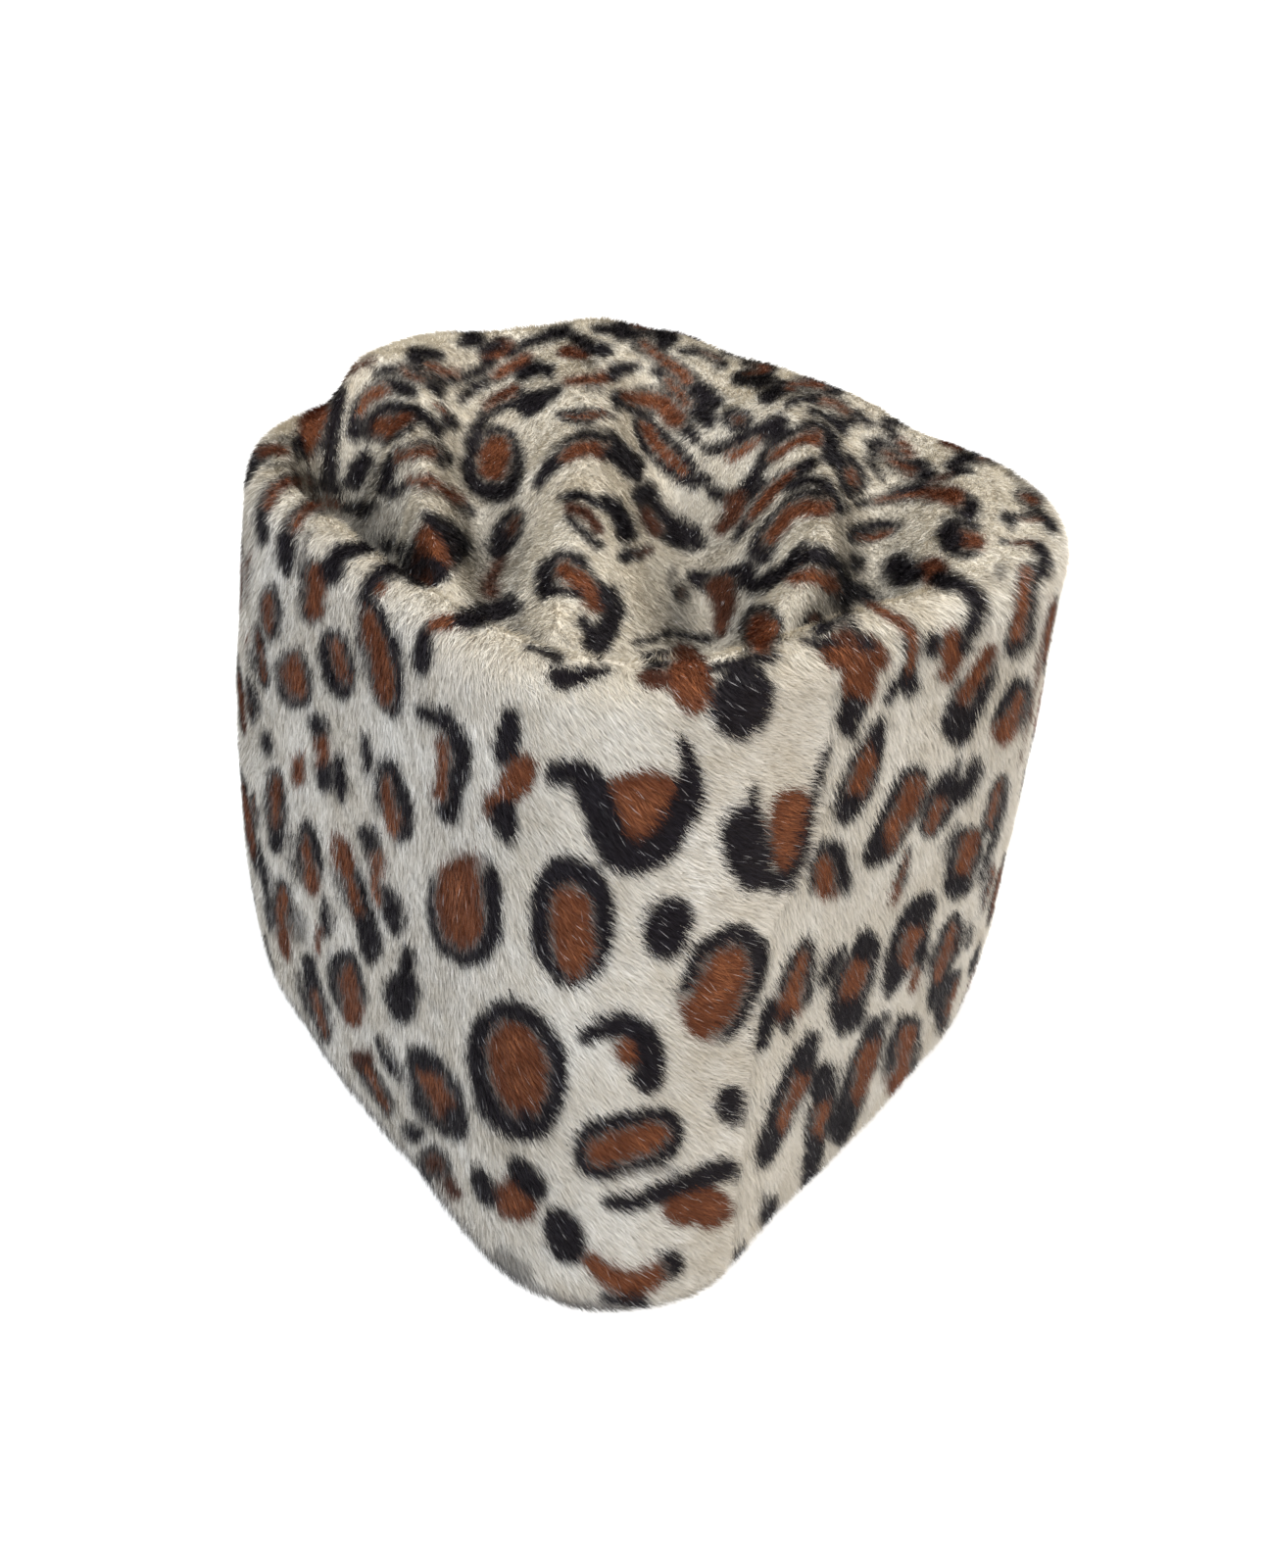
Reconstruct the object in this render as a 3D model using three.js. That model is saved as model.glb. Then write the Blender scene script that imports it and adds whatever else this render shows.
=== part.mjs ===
// A tall soft brimless cap of leopard-print plush, standing on its hem.
// Millimetres, +Z up, the narrow front towards -Y, origin under the middle of the cap.
import * as THREE from "three";

// Plan of the wall: a narrow nose circle and a broad back circle with straight tangents.
const HEM_PLAN = { noseX: 6.0, noseY: -80.5, noseR: 27.3, backX: 0.4, backY: 21.4, backR: 85.2 };
const RIM_PLAN = { noseX: -3.9, noseY: -66.2, noseR: 33.5, backX: -0.3, backY: 16.4, backR: 86.6 };
const WALL_BULGE = 3.0; // how far the wall stands out at half its height
const SIDE_SWELL = 0.4; // how far the flat sides round out between nose and back

// Heights: the rim slopes up from the back to the front.
const BACK_HEIGHT = 111.6;
const FRONT_RISE = 15.4;
const FRONT_Y = -109.0;
const BACK_Y = 109.0;
const RIM_RADIUS = 8.0; // radius of the soft turn from wall to crown

// Cloth: backing and lying pile together.
const CLOTH = 3.0;
const HEM_CLOTH = 2.0;
const HEM_HEIGHT = 22.0;
const GAP = 0.3;
const HEM_GAP = 1.2;
const HEM_STEPS = 3;
const RIM_LAP = 6.0; // how far the band runs inwards past the top of the rim

// Crown: soft folds that run from the front to the back.
const CROWN_CENTRE = { x: 0, y: 0 };
const CROWN_BLEND = 13.0; // distance over which the crown leaves the rim
const FOLD_Y = [-72, -20, 5, 40, 78]; // five places from the front to the back
// x of each fold line and its height over the rim at those places
const FOLDS = [
  { fold: "left pocket", x: [-39, -54, -67, -71, -61], over: [-8, -14, -10, -2, 4] },
  { fold: "left ridge", x: [-33, -45, -52, -55, -45], over: [-4, 4, 9, 13, 10] },
  { fold: "left valley", x: [-24, -31, -37, -41, -33], over: [-10, -11, -6, 6, 11] },
  { fold: "middle ridge", x: [-15, -15, -17, -18, -19], over: [-4, 5, 10, 16, 15] },
  { fold: "middle valley", x: [11, 15, 9, -2, -2], over: [-18, -25, -16, 2, 13] },
  { fold: "right ridge", x: [25, 32, 32, 24, 19], over: [-5, 5, 9, 14, 12] },
  { fold: "right crease", x: [35, 44, 46, 50, 49], over: [-8, -9, -6, 1, 4] },
  { fold: "right shoulder", x: [45, 58, 63, 69, 67], over: [0, 1, 1, 2, 2] },
];
// Behind the front of the rim the crown dips a little before the folds begin.
const FRONT_CREASE = { depth: 6, inwards: 9, reach: 5, fromY: -25, fullY: -55 };

// Small local shapes: middle of each, its reach, and how deep it goes in.
const DENTS = [
  { dent: "tuck beside the seam", x: 48, y: -72, z: 121, reach: 7, depth: 2.5 },
];

// The seam where the two ends of the band meet, right of the nose.
const SEAM_DEPTH = 1.0;

// Steps around the plan and up the wall
const NOSE_STEPS = 8; // from the middle of the nose to each tangent
const SIDE_STEPS = 14;
const BACK_STEPS = 40;
const AROUND = 2 * (NOSE_STEPS + SIDE_STEPS) + BACK_STEPS;
const WALL_STEPS = 6;
const TURN_STEPS = 4;
const LAP_STEPS = 2;
const CROWN_STEPS = 18;

const mix = (a, b, t) => a + (b - a) * t;
const smooth = (t) => {
  const c = Math.min(1, Math.max(0, t));
  return c * c * (3 - 2 * c);
};

// A point of the plan, counted counterclockwise from the middle of the nose.
// It gives the position, the outward direction and how far a flat side swells there.
function planPoint(size, step) {
  const dx = size.backX - size.noseX;
  const dy = size.backY - size.noseY;
  const axis = Math.atan2(dy, dx);
  const open = Math.acos((size.noseR - size.backR) / Math.hypot(dx, dy));
  const nose = { x: size.noseX, y: size.noseY, r: size.noseR };
  const back = { x: size.backX, y: size.backY, r: size.backR };
  const first = axis - Math.PI;
  const right = axis - open;
  const left = axis + open;
  let s = step;
  let angle;
  let along = 0;
  let side = 0;
  if (s <= NOSE_STEPS) {
    angle = mix(first, right, s / NOSE_STEPS);
  } else if ((s -= NOSE_STEPS) <= SIDE_STEPS) {
    angle = right;
    along = s / SIDE_STEPS;
    side = along;
  } else if ((s -= SIDE_STEPS) <= BACK_STEPS) {
    angle = mix(right, left, s / BACK_STEPS);
    along = 1;
  } else if ((s -= BACK_STEPS) <= SIDE_STEPS) {
    angle = left;
    along = 1 - s / SIDE_STEPS;
    side = along;
  } else {
    angle = mix(left, first + 2 * Math.PI, (s - SIDE_STEPS) / NOSE_STEPS);
  }
  const nx = Math.cos(angle);
  const ny = Math.sin(angle);
  return {
    x: mix(nose.x + nose.r * nx, back.x + back.r * nx, along),
    y: mix(nose.y + nose.r * ny, back.y + back.r * ny, along),
    nx,
    ny,
    swell: SIDE_SWELL * 4 * side * (1 - side),
  };
}

function planAt(v) {
  const size = {};
  for (const key of Object.keys(HEM_PLAN)) size[key] = mix(HEM_PLAN[key], RIM_PLAN[key], v);
  return size;
}

// Height of the top of the rim
function rimTop(y) {
  const forward = Math.min(1, Math.max(0, (BACK_Y - y) / (BACK_Y - FRONT_Y)));
  return BACK_HEIGHT + FRONT_RISE * forward;
}

// Wall, v from 0 at the hem to 1 where the rim begins to turn
function wallPoint(step, v) {
  const p = planPoint(planAt(v), step);
  const out = WALL_BULGE * 4 * v * (1 - v) + p.swell;
  const x = p.x + p.nx * out;
  const y = p.y + p.ny * out;
  return new THREE.Vector3(x, y, (rimTop(y) - RIM_RADIUS) * v);
}

// Soft turn, t from 0 at the top of the wall to 1 at the top of the rim
function turnPoint(step, t) {
  const p = planPoint(RIM_PLAN, step);
  const angle = (t * Math.PI) / 2;
  const out = p.swell - RIM_RADIUS * (1 - Math.cos(angle));
  const x = p.x + p.nx * out;
  const y = p.y + p.ny * out;
  return new THREE.Vector3(x, y, rimTop(y) - RIM_RADIUS * (1 - Math.sin(angle)));
}

// Value at y from a fold's row, eased between the places
function rowAt(values, y) {
  if (y <= FOLD_Y[0]) return values[0];
  for (let i = 1; i < FOLD_Y.length; i++)
    if (y <= FOLD_Y[i])
      return mix(values[i - 1], values[i], smooth((y - FOLD_Y[i - 1]) / (FOLD_Y[i] - FOLD_Y[i - 1])));
  return values[values.length - 1];
}

// Height of the folded crown over the rim
function foldOver(x, y) {
  const line = FOLDS.map((f) => ({ x: rowAt(f.x, y), over: rowAt(f.over, y) }));
  if (x <= line[0].x) return line[0].over;
  for (let i = 1; i < line.length; i++)
    if (x <= line[i].x)
      return mix(line[i - 1].over, line[i].over, smooth((x - line[i - 1].x) / (line[i].x - line[i - 1].x)));
  return line[line.length - 1].over;
}

// Crown, at a distance in from the top of the rim towards the centre
function crownPoint(step, inwards) {
  const rim = turnPoint(step, 1);
  const dx = CROWN_CENTRE.x - rim.x;
  const dy = CROWN_CENTRE.y - rim.y;
  const reach = Math.hypot(dx, dy);
  const x = rim.x + (dx * inwards) / reach;
  const y = rim.y + (dy * inwards) / reach;
  const front = smooth((FRONT_CREASE.fromY - y) / (FRONT_CREASE.fromY - FRONT_CREASE.fullY));
  const crease = Math.exp(-(((inwards - FRONT_CREASE.inwards) / FRONT_CREASE.reach) ** 2));
  const over = foldOver(x, y) * smooth(inwards / CROWN_BLEND) - FRONT_CREASE.depth * front * crease;
  return new THREE.Vector3(x, y, rimTop(y) + over);
}

function crownReach(step) {
  const rim = turnPoint(step, 1);
  return Math.hypot(CROWN_CENTRE.x - rim.x, CROWN_CENTRE.y - rim.y);
}

// Rows of points from the hem to the inner edge of the rim
function bandRows() {
  const rows = [];
  for (let i = 0; i <= WALL_STEPS; i++) rows.push((s) => wallPoint(s, i / WALL_STEPS));
  for (let i = 1; i <= TURN_STEPS; i++) rows.push((s) => turnPoint(s, i / TURN_STEPS));
  for (let i = 1; i <= LAP_STEPS; i++) rows.push((s) => crownPoint(s, (RIM_LAP * i) / LAP_STEPS));
  return rows.map((row) => Array.from({ length: AROUND }, (_, s) => row(s)));
}

// Outward direction at each point of a grid that closes around
function gridNormals(rows) {
  const last = rows.length - 1;
  return rows.map((row, i) =>
    row.map((_, s) => {
      const ahead = row[(s + 1) % AROUND];
      const behind = row[(s + AROUND - 1) % AROUND];
      const up = rows[Math.min(last, i + 1)][s];
      const down = rows[Math.max(0, i - 1)][s];
      return ahead.clone().sub(behind).cross(up.clone().sub(down)).normalize();
    }),
  );
}

function pressDents(rows, normals) {
  return rows.map((row, i) =>
    row.map((p, s) => {
      let inwards = 0;
      for (const d of DENTS) {
        const far = p.distanceToSquared(new THREE.Vector3(d.x, d.y, d.z));
        inwards += d.depth * Math.exp(-far / (d.reach * d.reach));
      }
      if (s === NOSE_STEPS && i > 0 && i <= WALL_STEPS) inwards += SEAM_DEPTH;
      return p.clone().addScaledVector(normals[i][s], -inwards);
    }),
  );
}

// Both faces of a cloth, as one closed mesh between two depths under the grid
function clothRing(rows, normals, outerDepth, innerDepth) {
  const points = [];
  const sunk = (depth) =>
    rows.forEach((row, i) =>
      row.forEach((p, s) => {
        const q = p.clone().addScaledVector(normals[i][s], -depth);
        if (i === 0) q.z = p.z;
        points.push(q);
      }),
    );
  sunk(outerDepth);
  sunk(innerDepth);
  const last = rows.length - 1;
  const at = (inner, i, s) => (inner * rows.length + i) * AROUND + (s % AROUND);
  const faces = [];
  const quad = (a, b, c, d) => faces.push(a, b, c, a, c, d);
  for (let s = 0; s < AROUND; s++) {
    for (let i = 0; i < last; i++) {
      quad(at(0, i, s), at(0, i, s + 1), at(0, i + 1, s + 1), at(0, i + 1, s));
      quad(at(1, i, s), at(1, i + 1, s), at(1, i + 1, s + 1), at(1, i, s + 1));
    }
    quad(at(0, 0, s), at(1, 0, s), at(1, 0, s + 1), at(0, 0, s + 1));
    quad(at(0, last, s), at(0, last, s + 1), at(1, last, s + 1), at(1, last, s));
  }
  return meshGeometry(points, faces);
}

// The crown as one closed mesh: rings from its edge to a middle point, on both faces
function clothCap(rows, normals, centre, depth) {
  const points = [];
  rows.forEach((row) => row.forEach((p) => points.push(p)));
  rows.forEach((row, i) => row.forEach((p, s) => points.push(p.clone().addScaledVector(normals[i][s], -depth))));
  const top = points.push(centre) - 1;
  const under = points.push(new THREE.Vector3(centre.x, centre.y, centre.z - depth)) - 1;
  const last = rows.length - 1;
  const at = (inner, i, s) => (inner * rows.length + i) * AROUND + (s % AROUND);
  const faces = [];
  const quad = (a, b, c, d) => faces.push(a, b, c, a, c, d);
  for (let s = 0; s < AROUND; s++) {
    for (let i = 0; i < last; i++) {
      quad(at(0, i, s), at(0, i, s + 1), at(0, i + 1, s + 1), at(0, i + 1, s));
      quad(at(1, i, s), at(1, i + 1, s), at(1, i + 1, s + 1), at(1, i, s + 1));
    }
    faces.push(at(0, last, s), at(0, last, s + 1), top);
    faces.push(at(1, last, s + 1), at(1, last, s), under);
    quad(at(0, 0, s), at(1, 0, s), at(1, 0, s + 1), at(0, 0, s + 1));
  }
  return meshGeometry(points, faces);
}

function meshGeometry(points, faces) {
  const geometry = new THREE.BufferGeometry();
  geometry.setAttribute("position", new THREE.Float32BufferAttribute(points.flatMap((p) => [p.x, p.y, p.z]), 3));
  geometry.setIndex(faces);
  geometry.computeVertexNormals();
  return geometry;
}

// Band: wall, rim turn and lap
const smoothRows = bandRows();
const smoothNormals = gridNormals(smoothRows);
for (const n of smoothNormals[0]) n.setZ(0).normalize();
const outerRows = pressDents(smoothRows, smoothNormals);
const bandGeometry = clothRing(outerRows, smoothNormals, 0, CLOTH);

// Crown: starts a small gap inside the band's inner edge
const crownRows = [];
for (let i = 0; i < CROWN_STEPS; i++)
  crownRows.push(
    Array.from({ length: AROUND }, (_, s) => {
      const start = RIM_LAP + GAP;
      return crownPoint(s, start + ((crownReach(s) - start) * i) / CROWN_STEPS);
    }),
  );
const crownNormals = gridNormals(crownRows);
crownNormals[0].forEach((n, s) => n.copy(smoothNormals[smoothNormals.length - 1][s]));
const middle = new THREE.Vector3(
  CROWN_CENTRE.x,
  CROWN_CENTRE.y,
  rimTop(CROWN_CENTRE.y) + foldOver(CROWN_CENTRE.x, CROWN_CENTRE.y),
);
const crownGeometry = clothCap(crownRows, crownNormals, middle, CLOTH);

// Hem: the cloth turned in against the inside of the wall
const hemRows = [];
for (let i = 0; i <= HEM_STEPS; i++)
  hemRows.push(
    Array.from({ length: AROUND }, (_, s) => {
      const top = rimTop(wallPoint(s, 0).y) - RIM_RADIUS;
      return wallPoint(s, (HEM_HEIGHT * i) / HEM_STEPS / top);
    }),
  );
const hemNormals = gridNormals(hemRows);
for (const n of hemNormals[0]) n.setZ(0).normalize();
const hemGeometry = clothRing(hemRows, hemNormals, CLOTH + HEM_GAP, CLOTH + HEM_GAP + HEM_CLOTH);

const plush = (color) => new THREE.MeshStandardMaterial({ color, roughness: 0.9, metalness: 0 });
const pieces = [
  { name: "band", geometry: bandGeometry, material: plush(0xd8d2c4) },
  { name: "crown", geometry: crownGeometry, material: plush(0xd6cfbf) },
  { name: "hem", geometry: hemGeometry, material: plush(0x5c5a5c) },
];

const kufi = new THREE.Group();
kufi.name = "kufi";
for (const piece of pieces) {
  const mesh = new THREE.Mesh(piece.geometry, piece.material);
  mesh.name = piece.name;
  kufi.add(mesh);
}

export default kufi;
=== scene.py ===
import math
from collections import namedtuple

import bpy
import numpy as np
from mathutils import Matrix, Vector
from mathutils.bvhtree import BVHTree
from mathutils.kdtree import KDTree


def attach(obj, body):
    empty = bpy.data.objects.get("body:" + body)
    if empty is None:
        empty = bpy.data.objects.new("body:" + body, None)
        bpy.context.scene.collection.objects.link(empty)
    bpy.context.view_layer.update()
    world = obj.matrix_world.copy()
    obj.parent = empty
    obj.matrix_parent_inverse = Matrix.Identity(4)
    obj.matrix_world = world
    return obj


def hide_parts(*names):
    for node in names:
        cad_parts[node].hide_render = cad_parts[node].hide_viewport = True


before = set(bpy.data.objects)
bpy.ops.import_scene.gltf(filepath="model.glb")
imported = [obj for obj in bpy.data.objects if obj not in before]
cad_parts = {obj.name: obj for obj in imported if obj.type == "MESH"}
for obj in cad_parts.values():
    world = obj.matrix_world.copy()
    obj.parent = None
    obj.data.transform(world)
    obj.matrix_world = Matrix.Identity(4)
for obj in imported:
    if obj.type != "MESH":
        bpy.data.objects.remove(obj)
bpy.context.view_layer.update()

MM = 0.001
rng = np.random.default_rng(41)

# Plan, heights and folds of the cap, in millimetres
HEM_PLAN = dict(noseX=6.0, noseY=-80.5, noseR=27.3, backX=0.4, backY=21.4, backR=85.2)
RIM_PLAN = dict(noseX=-3.9, noseY=-66.2, noseR=33.5, backX=-0.3, backY=16.4, backR=86.6)
WALL_BULGE = 3.0
SIDE_SWELL = 0.4
BACK_HEIGHT = 111.6
FRONT_RISE = 15.4
FRONT_Y = -109.0
BACK_Y = 109.0
RIM_RADIUS = 8.0
CLOTH = 3.0
HEM_CLOTH = 2.0
HEM_HEIGHT = 22.0
HEM_GAP = 1.2
CROWN_BLEND = 8.0
NOSE_STEPS = 8
SIDE_STEPS = 14
BACK_STEPS = 40
AROUND = 2 * (NOSE_STEPS + SIDE_STEPS) + BACK_STEPS
FOLD_Y = [-72, -20, 5, 40, 78]
Fold = namedtuple("Fold", "name x over")
FOLDS = [
    Fold("left pocket", [-39, -54, -67, -71, -61], [-11, -23, -20, 13, 16]),
    Fold("left ridge", [-33, -45, -52, -55, -45], [-4, 4, 9, 15, 14]),
    Fold("left valley", [-24, -31, -37, -41, -33], [-12, -13, -7, 6, 15]),
    Fold("middle ridge", [-15, -15, -17, -18, -19], [-4, 5, 10, 16, 17]),
    Fold("middle valley", [11, 15, 9, -2, -2], [-18, -25, -16, 2, 15]),
    Fold("right ridge", [25, 32, 32, 24, 19], [-5, 5, 9, 14, 11]),
    Fold("right crease", [35, 44, 46, 50, 49], [-9, -11, -7, 0, 8]),
    Fold("right shoulder", [45, 58, 63, 69, 67], [0, 1, 4, 5, 4]),
]
CREASE_DEPTH = 6.0
CREASE_INWARDS = 9.0
CREASE_REACH = 5.0
CREASE_FROM_Y = -25.0
CREASE_FULL_Y = -55.0
TUCK = dict(x=48.0, y=-72.0, z=121.0, reach=7.0, depth=2.5)
# The seam's place, in steps around the cap, by shares of the wall's height
SEAM_DEPTH = 1.2
SEAM_REACH = 0.28
SEAM_SHARES = [0.0, 0.2, 0.39, 0.54, 0.65, 0.69, 0.74, 0.81, 0.9, 1.0]
SEAM_STEPS = [7.7, 7.1, 7.3, 7.7, 8.1, 9.0, 10.7, 11.2, 11.5, 11.7]
SEAM_END = 0.6
UNEVEN_DEPTH = 0.5
UNEVEN_SCALE = 22.0
HEM_CURL = 0.8
HEM_CURL_TALL = 7.0
PROUD = 1.1
# How far the lower wall stands out of the plan, by steps around the cap
SWELL_STEPS = [0, 6, 11, 16, 24, 34, 50, 58, 66, 76, 82, 84]
SWELL_OUT = [0.3, 0.0, -0.9, 0.3, 1.3, 0.8, 0.0, 0.5, 2.2, 2.2, 1.0, 0.3]
SWELL_TOP = 75.0
SWELL_FADE = 50.0
# How far the rim's right shoulder stands out, in grid rows around the one where it is fullest
SHOULDER_OUT = 1.9
SHOULDER_ROWS = 4.5
SHOULDER_PAST_WALL = 5

# Grid of the visible surface
COLUMNS = 336
WALL_ROWS = 60
TURN_ROWS = 8
CROWN_ROWS = 46
LAP_ROWS = 4
CROWN_REACH = 0.985
CROWN_START = WALL_ROWS + TURN_ROWS
PILE = 1.7

# Photo frame and camera
PHOTO_WIDE = 1293
PHOTO_TALL = 1600
TARGET = np.array([1.0, -19.5, 70.0])
DISTANCE = 368.88
ELEVATION = math.radians(29.09)
ROLL = 0.100
FOCAL_PX = 1800.2
MIDDLE_X = 648.44
MIDDLE_Y = 762.69
forward = np.array([0.0, math.cos(ELEVATION), -math.sin(ELEVATION)])
eye = TARGET - DISTANCE * forward
side = np.array([1.0, 0.0, 0.0])
rise = np.cross(side, forward)
cam_right = math.cos(ROLL) * side + math.sin(ROLL) * rise
cam_up = math.cos(ROLL) * rise - math.sin(ROLL) * side


def project(points):
    q = points - eye
    depth = q @ forward
    return MIDDLE_X + FOCAL_PX * (q @ cam_right) / depth, MIDDLE_Y - FOCAL_PX * (q @ cam_up) / depth


def smooth(t):
    c = np.clip(t, 0.0, 1.0)
    return c * c * (3 - 2 * c)


def mix(a, b, t):
    return a + (b - a) * t


def plan(v, step):
    size = {k: mix(HEM_PLAN[k], RIM_PLAN[k], v) for k in HEM_PLAN}
    dx = size["backX"] - size["noseX"]
    dy = size["backY"] - size["noseY"]
    axis = np.arctan2(dy, dx)
    opened = np.arccos((size["noseR"] - size["backR"]) / np.hypot(dx, dy))
    first = axis - np.pi
    right = axis - opened
    left = axis + opened
    one = NOSE_STEPS
    two = one + SIDE_STEPS
    three = two + BACK_STEPS
    four = three + SIDE_STEPS
    nose_right = mix(first, right, step / NOSE_STEPS)
    back = mix(right, left, (step - two) / BACK_STEPS)
    nose_left = mix(left, first + 2 * np.pi, (step - four) / NOSE_STEPS)
    angle = np.where(step <= one, nose_right, np.where(step <= two, right + 0 * step, np.where(
        step <= three, back, np.where(step <= four, left + 0 * step, nose_left))))
    along = np.clip((step - one) / SIDE_STEPS, 0, 1) - np.clip((step - three) / SIDE_STEPS, 0, 1)
    nx = np.cos(angle)
    ny = np.sin(angle)
    x = mix(size["noseX"] + size["noseR"] * nx, size["backX"] + size["backR"] * nx, along)
    y = mix(size["noseY"] + size["noseR"] * ny, size["backY"] + size["backR"] * ny, along)
    return x, y, nx, ny, SIDE_SWELL * 4 * along * (1 - along)


def rim_top(y):
    return BACK_HEIGHT + FRONT_RISE * np.clip((BACK_Y - y) / (BACK_Y - FRONT_Y), 0, 1)


def wall_point(step, v):
    x, y, nx, ny, swell = plan(v, step)
    out = WALL_BULGE * 4 * v * (1 - v) + swell
    x = x + nx * out
    y = y + ny * out
    return np.stack([x, y, (rim_top(y) - RIM_RADIUS) * v], -1)


def turn_point(step, t):
    x, y, nx, ny, swell = plan(1.0, step)
    angle = t * np.pi / 2
    out = swell - RIM_RADIUS * (1 - np.cos(angle))
    x = x + nx * out
    y = y + ny * out
    return np.stack([x, y, rim_top(y) - RIM_RADIUS * (1 - np.sin(angle))], -1)


def row_at(values, y):
    found = np.full_like(y, float(values[0]))
    for i in range(1, len(FOLD_Y)):
        t = (y - FOLD_Y[i - 1]) / (FOLD_Y[i] - FOLD_Y[i - 1])
        found = np.where(y > FOLD_Y[i - 1], mix(values[i - 1], values[i], smooth(t)), found)
    return found


def fold_over(x, y):
    xs = [row_at(f.x, y) for f in FOLDS]
    overs = [row_at(f.over, y) for f in FOLDS]
    found = overs[0]
    for i in range(1, len(FOLDS)):
        t = (x - xs[i - 1]) / (xs[i] - xs[i - 1])
        found = np.where(x > xs[i - 1], mix(overs[i - 1], overs[i], smooth(t)), found)
    return found


def crown_point(step, share):
    rim = turn_point(step, 1.0)
    reach = np.hypot(rim[..., 0], rim[..., 1])
    inwards = share * reach
    x = rim[..., 0] * (1 - share)
    y = rim[..., 1] * (1 - share)
    front = smooth((CREASE_FROM_Y - y) / (CREASE_FROM_Y - CREASE_FULL_Y))
    crease = np.exp(-(((inwards - CREASE_INWARDS) / CREASE_REACH) ** 2))
    over = fold_over(x, y) * smooth(inwards / CROWN_BLEND) - CREASE_DEPTH * front * crease
    return np.stack([x, y, rim_top(y) + over], -1)


def unit(vectors):
    return vectors / np.maximum(np.linalg.norm(vectors, axis=-1, keepdims=True), 1e-9)


def along_rows(grid):
    return np.roll(grid, -1, 1) - np.roll(grid, 1, 1)


def grid_normals(grid):
    up = np.empty_like(grid)
    up[1:-1] = grid[2:] - grid[:-2]
    up[0] = grid[1] - grid[0]
    up[-1] = grid[-1] - grid[-2]
    return unit(np.cross(along_rows(grid), up))


# Smooth noise from a seeded lattice, about -1 to 1
LATTICE_SIZE = 32
LATTICE = np.random.default_rng(7).uniform(-1, 1, (LATTICE_SIZE, LATTICE_SIZE, LATTICE_SIZE, 3))
NOISE_GAIN = 1.6


def noise(points, scale, channel=0):
    q = points / scale
    base = np.floor(q).astype(int)
    f = q - base
    f = f * f * (3 - 2 * f)
    total = 0
    for i, j, k in np.ndindex(2, 2, 2):
        weight = np.abs(1 - i - f[..., 0]) * np.abs(1 - j - f[..., 1]) * np.abs(1 - k - f[..., 2])
        at = (base + [i, j, k]) % LATTICE_SIZE
        total = total + weight * LATTICE[at[..., 0], at[..., 1], at[..., 2], channel]
    return total * NOISE_GAIN


def noise_vector(points, scale):
    return np.stack([noise(points, scale, c) for c in range(3)], -1)


# Rows of the surface from the hem over the rim to the middle of the crown.
# turned is 0 on the wall and 1 on the crown.
steps = np.arange(COLUMNS) * (AROUND / COLUMNS)
rows = []
kinds = []
for i in range(WALL_ROWS + 1):
    rows.append(wall_point(steps, i / WALL_ROWS))
    kinds.append(0.0)
for i in range(1, TURN_ROWS + 1):
    rows.append(turn_point(steps, i / TURN_ROWS))
    kinds.append(i / TURN_ROWS)
for i in range(1, CROWN_ROWS + 1):
    rows.append(crown_point(steps, CROWN_REACH * i / CROWN_ROWS))
    kinds.append(1.0)
skin = np.array(rows)
turned = np.array(kinds)[:, None] + np.zeros((1, COLUMNS))
skin_normals = grid_normals(skin)
skin_normals[0, :, 2] = 0
skin_normals[0] = unit(skin_normals[0])

# Local shapes: tuck, seam, soft unevenness, curl of the hem, swell of the wall and right shoulder
tuck_gap = skin - [TUCK["x"], TUCK["y"], TUCK["z"]]
inset = TUCK["depth"] * np.exp(-(tuck_gap**2).sum(-1) / TUCK["reach"] ** 2)
seam_step = np.interp(np.arange(len(skin)) / WALL_ROWS, SEAM_SHARES, SEAM_STEPS)[:, None]
seam_off = (steps[None, :] - seam_step + AROUND / 2) % AROUND - AROUND / 2
inset = inset + SEAM_DEPTH * np.exp(-((seam_off / SEAM_REACH) ** 2)) * (turned < SEAM_END)
inset = inset + UNEVEN_DEPTH * noise(skin, UNEVEN_SCALE)
hem_curl = np.clip(1 - skin[..., 2] / HEM_CURL_TALL, 0, 1)
inset = inset + HEM_CURL * hem_curl**2 - PROUD
swell = np.interp(steps, SWELL_STEPS, SWELL_OUT)[None, :]
inset = inset - swell * smooth((SWELL_TOP - skin[..., 2]) / SWELL_FADE)
from_shoulder = (np.arange(len(skin)) - WALL_ROWS - SHOULDER_PAST_WALL) / SHOULDER_ROWS
to_right = np.clip(skin_normals[0, :, 0], 0, 1) ** 2
inset = inset - SHOULDER_OUT * np.exp(-(from_shoulder**2))[:, None] * to_right[None, :]
skin = skin - skin_normals * inset[..., None]
skin[0, :, 2] = 0.0

# Direction in which the pile lies. On the wall it leans from straight down by shares of NAP_LEAN
# degrees, which follow the steps around the cap and bend with the seam on the front half.
NAP_LEAN = 60.0
NAP_STEPS = [0, 7.9, 8.1, 20, 45, 62, 84]
NAP_LEANS = [1.0, 1.0, 0.05, 0.1, 0.5, 1.0, 1.0]
NAP_SEAM_END = 30
NAP_SEAM_FADE = 10
CROWN_NAP = np.array([0.2, -0.95, 0.0])
CROWN_NAP_SLOPE = 0.9
ahead = unit(along_rows(skin))
seam_share = smooth((NAP_SEAM_END - steps) / NAP_SEAM_FADE)[None, :]
from_seam = steps[None, :] - (seam_step - NOSE_STEPS) * seam_share
lean = np.radians(NAP_LEAN * np.interp(from_seam, NAP_STEPS, NAP_LEANS))[..., None]
wall_nap = ahead * np.sin(lean) + np.array([0, 0, -1.0]) * np.cos(lean)
crown_nap = CROWN_NAP + CROWN_NAP_SLOPE * skin_normals * [1, 1, 0]
nap = mix(wall_nap, crown_nap, smooth(turned)[..., None])
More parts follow.
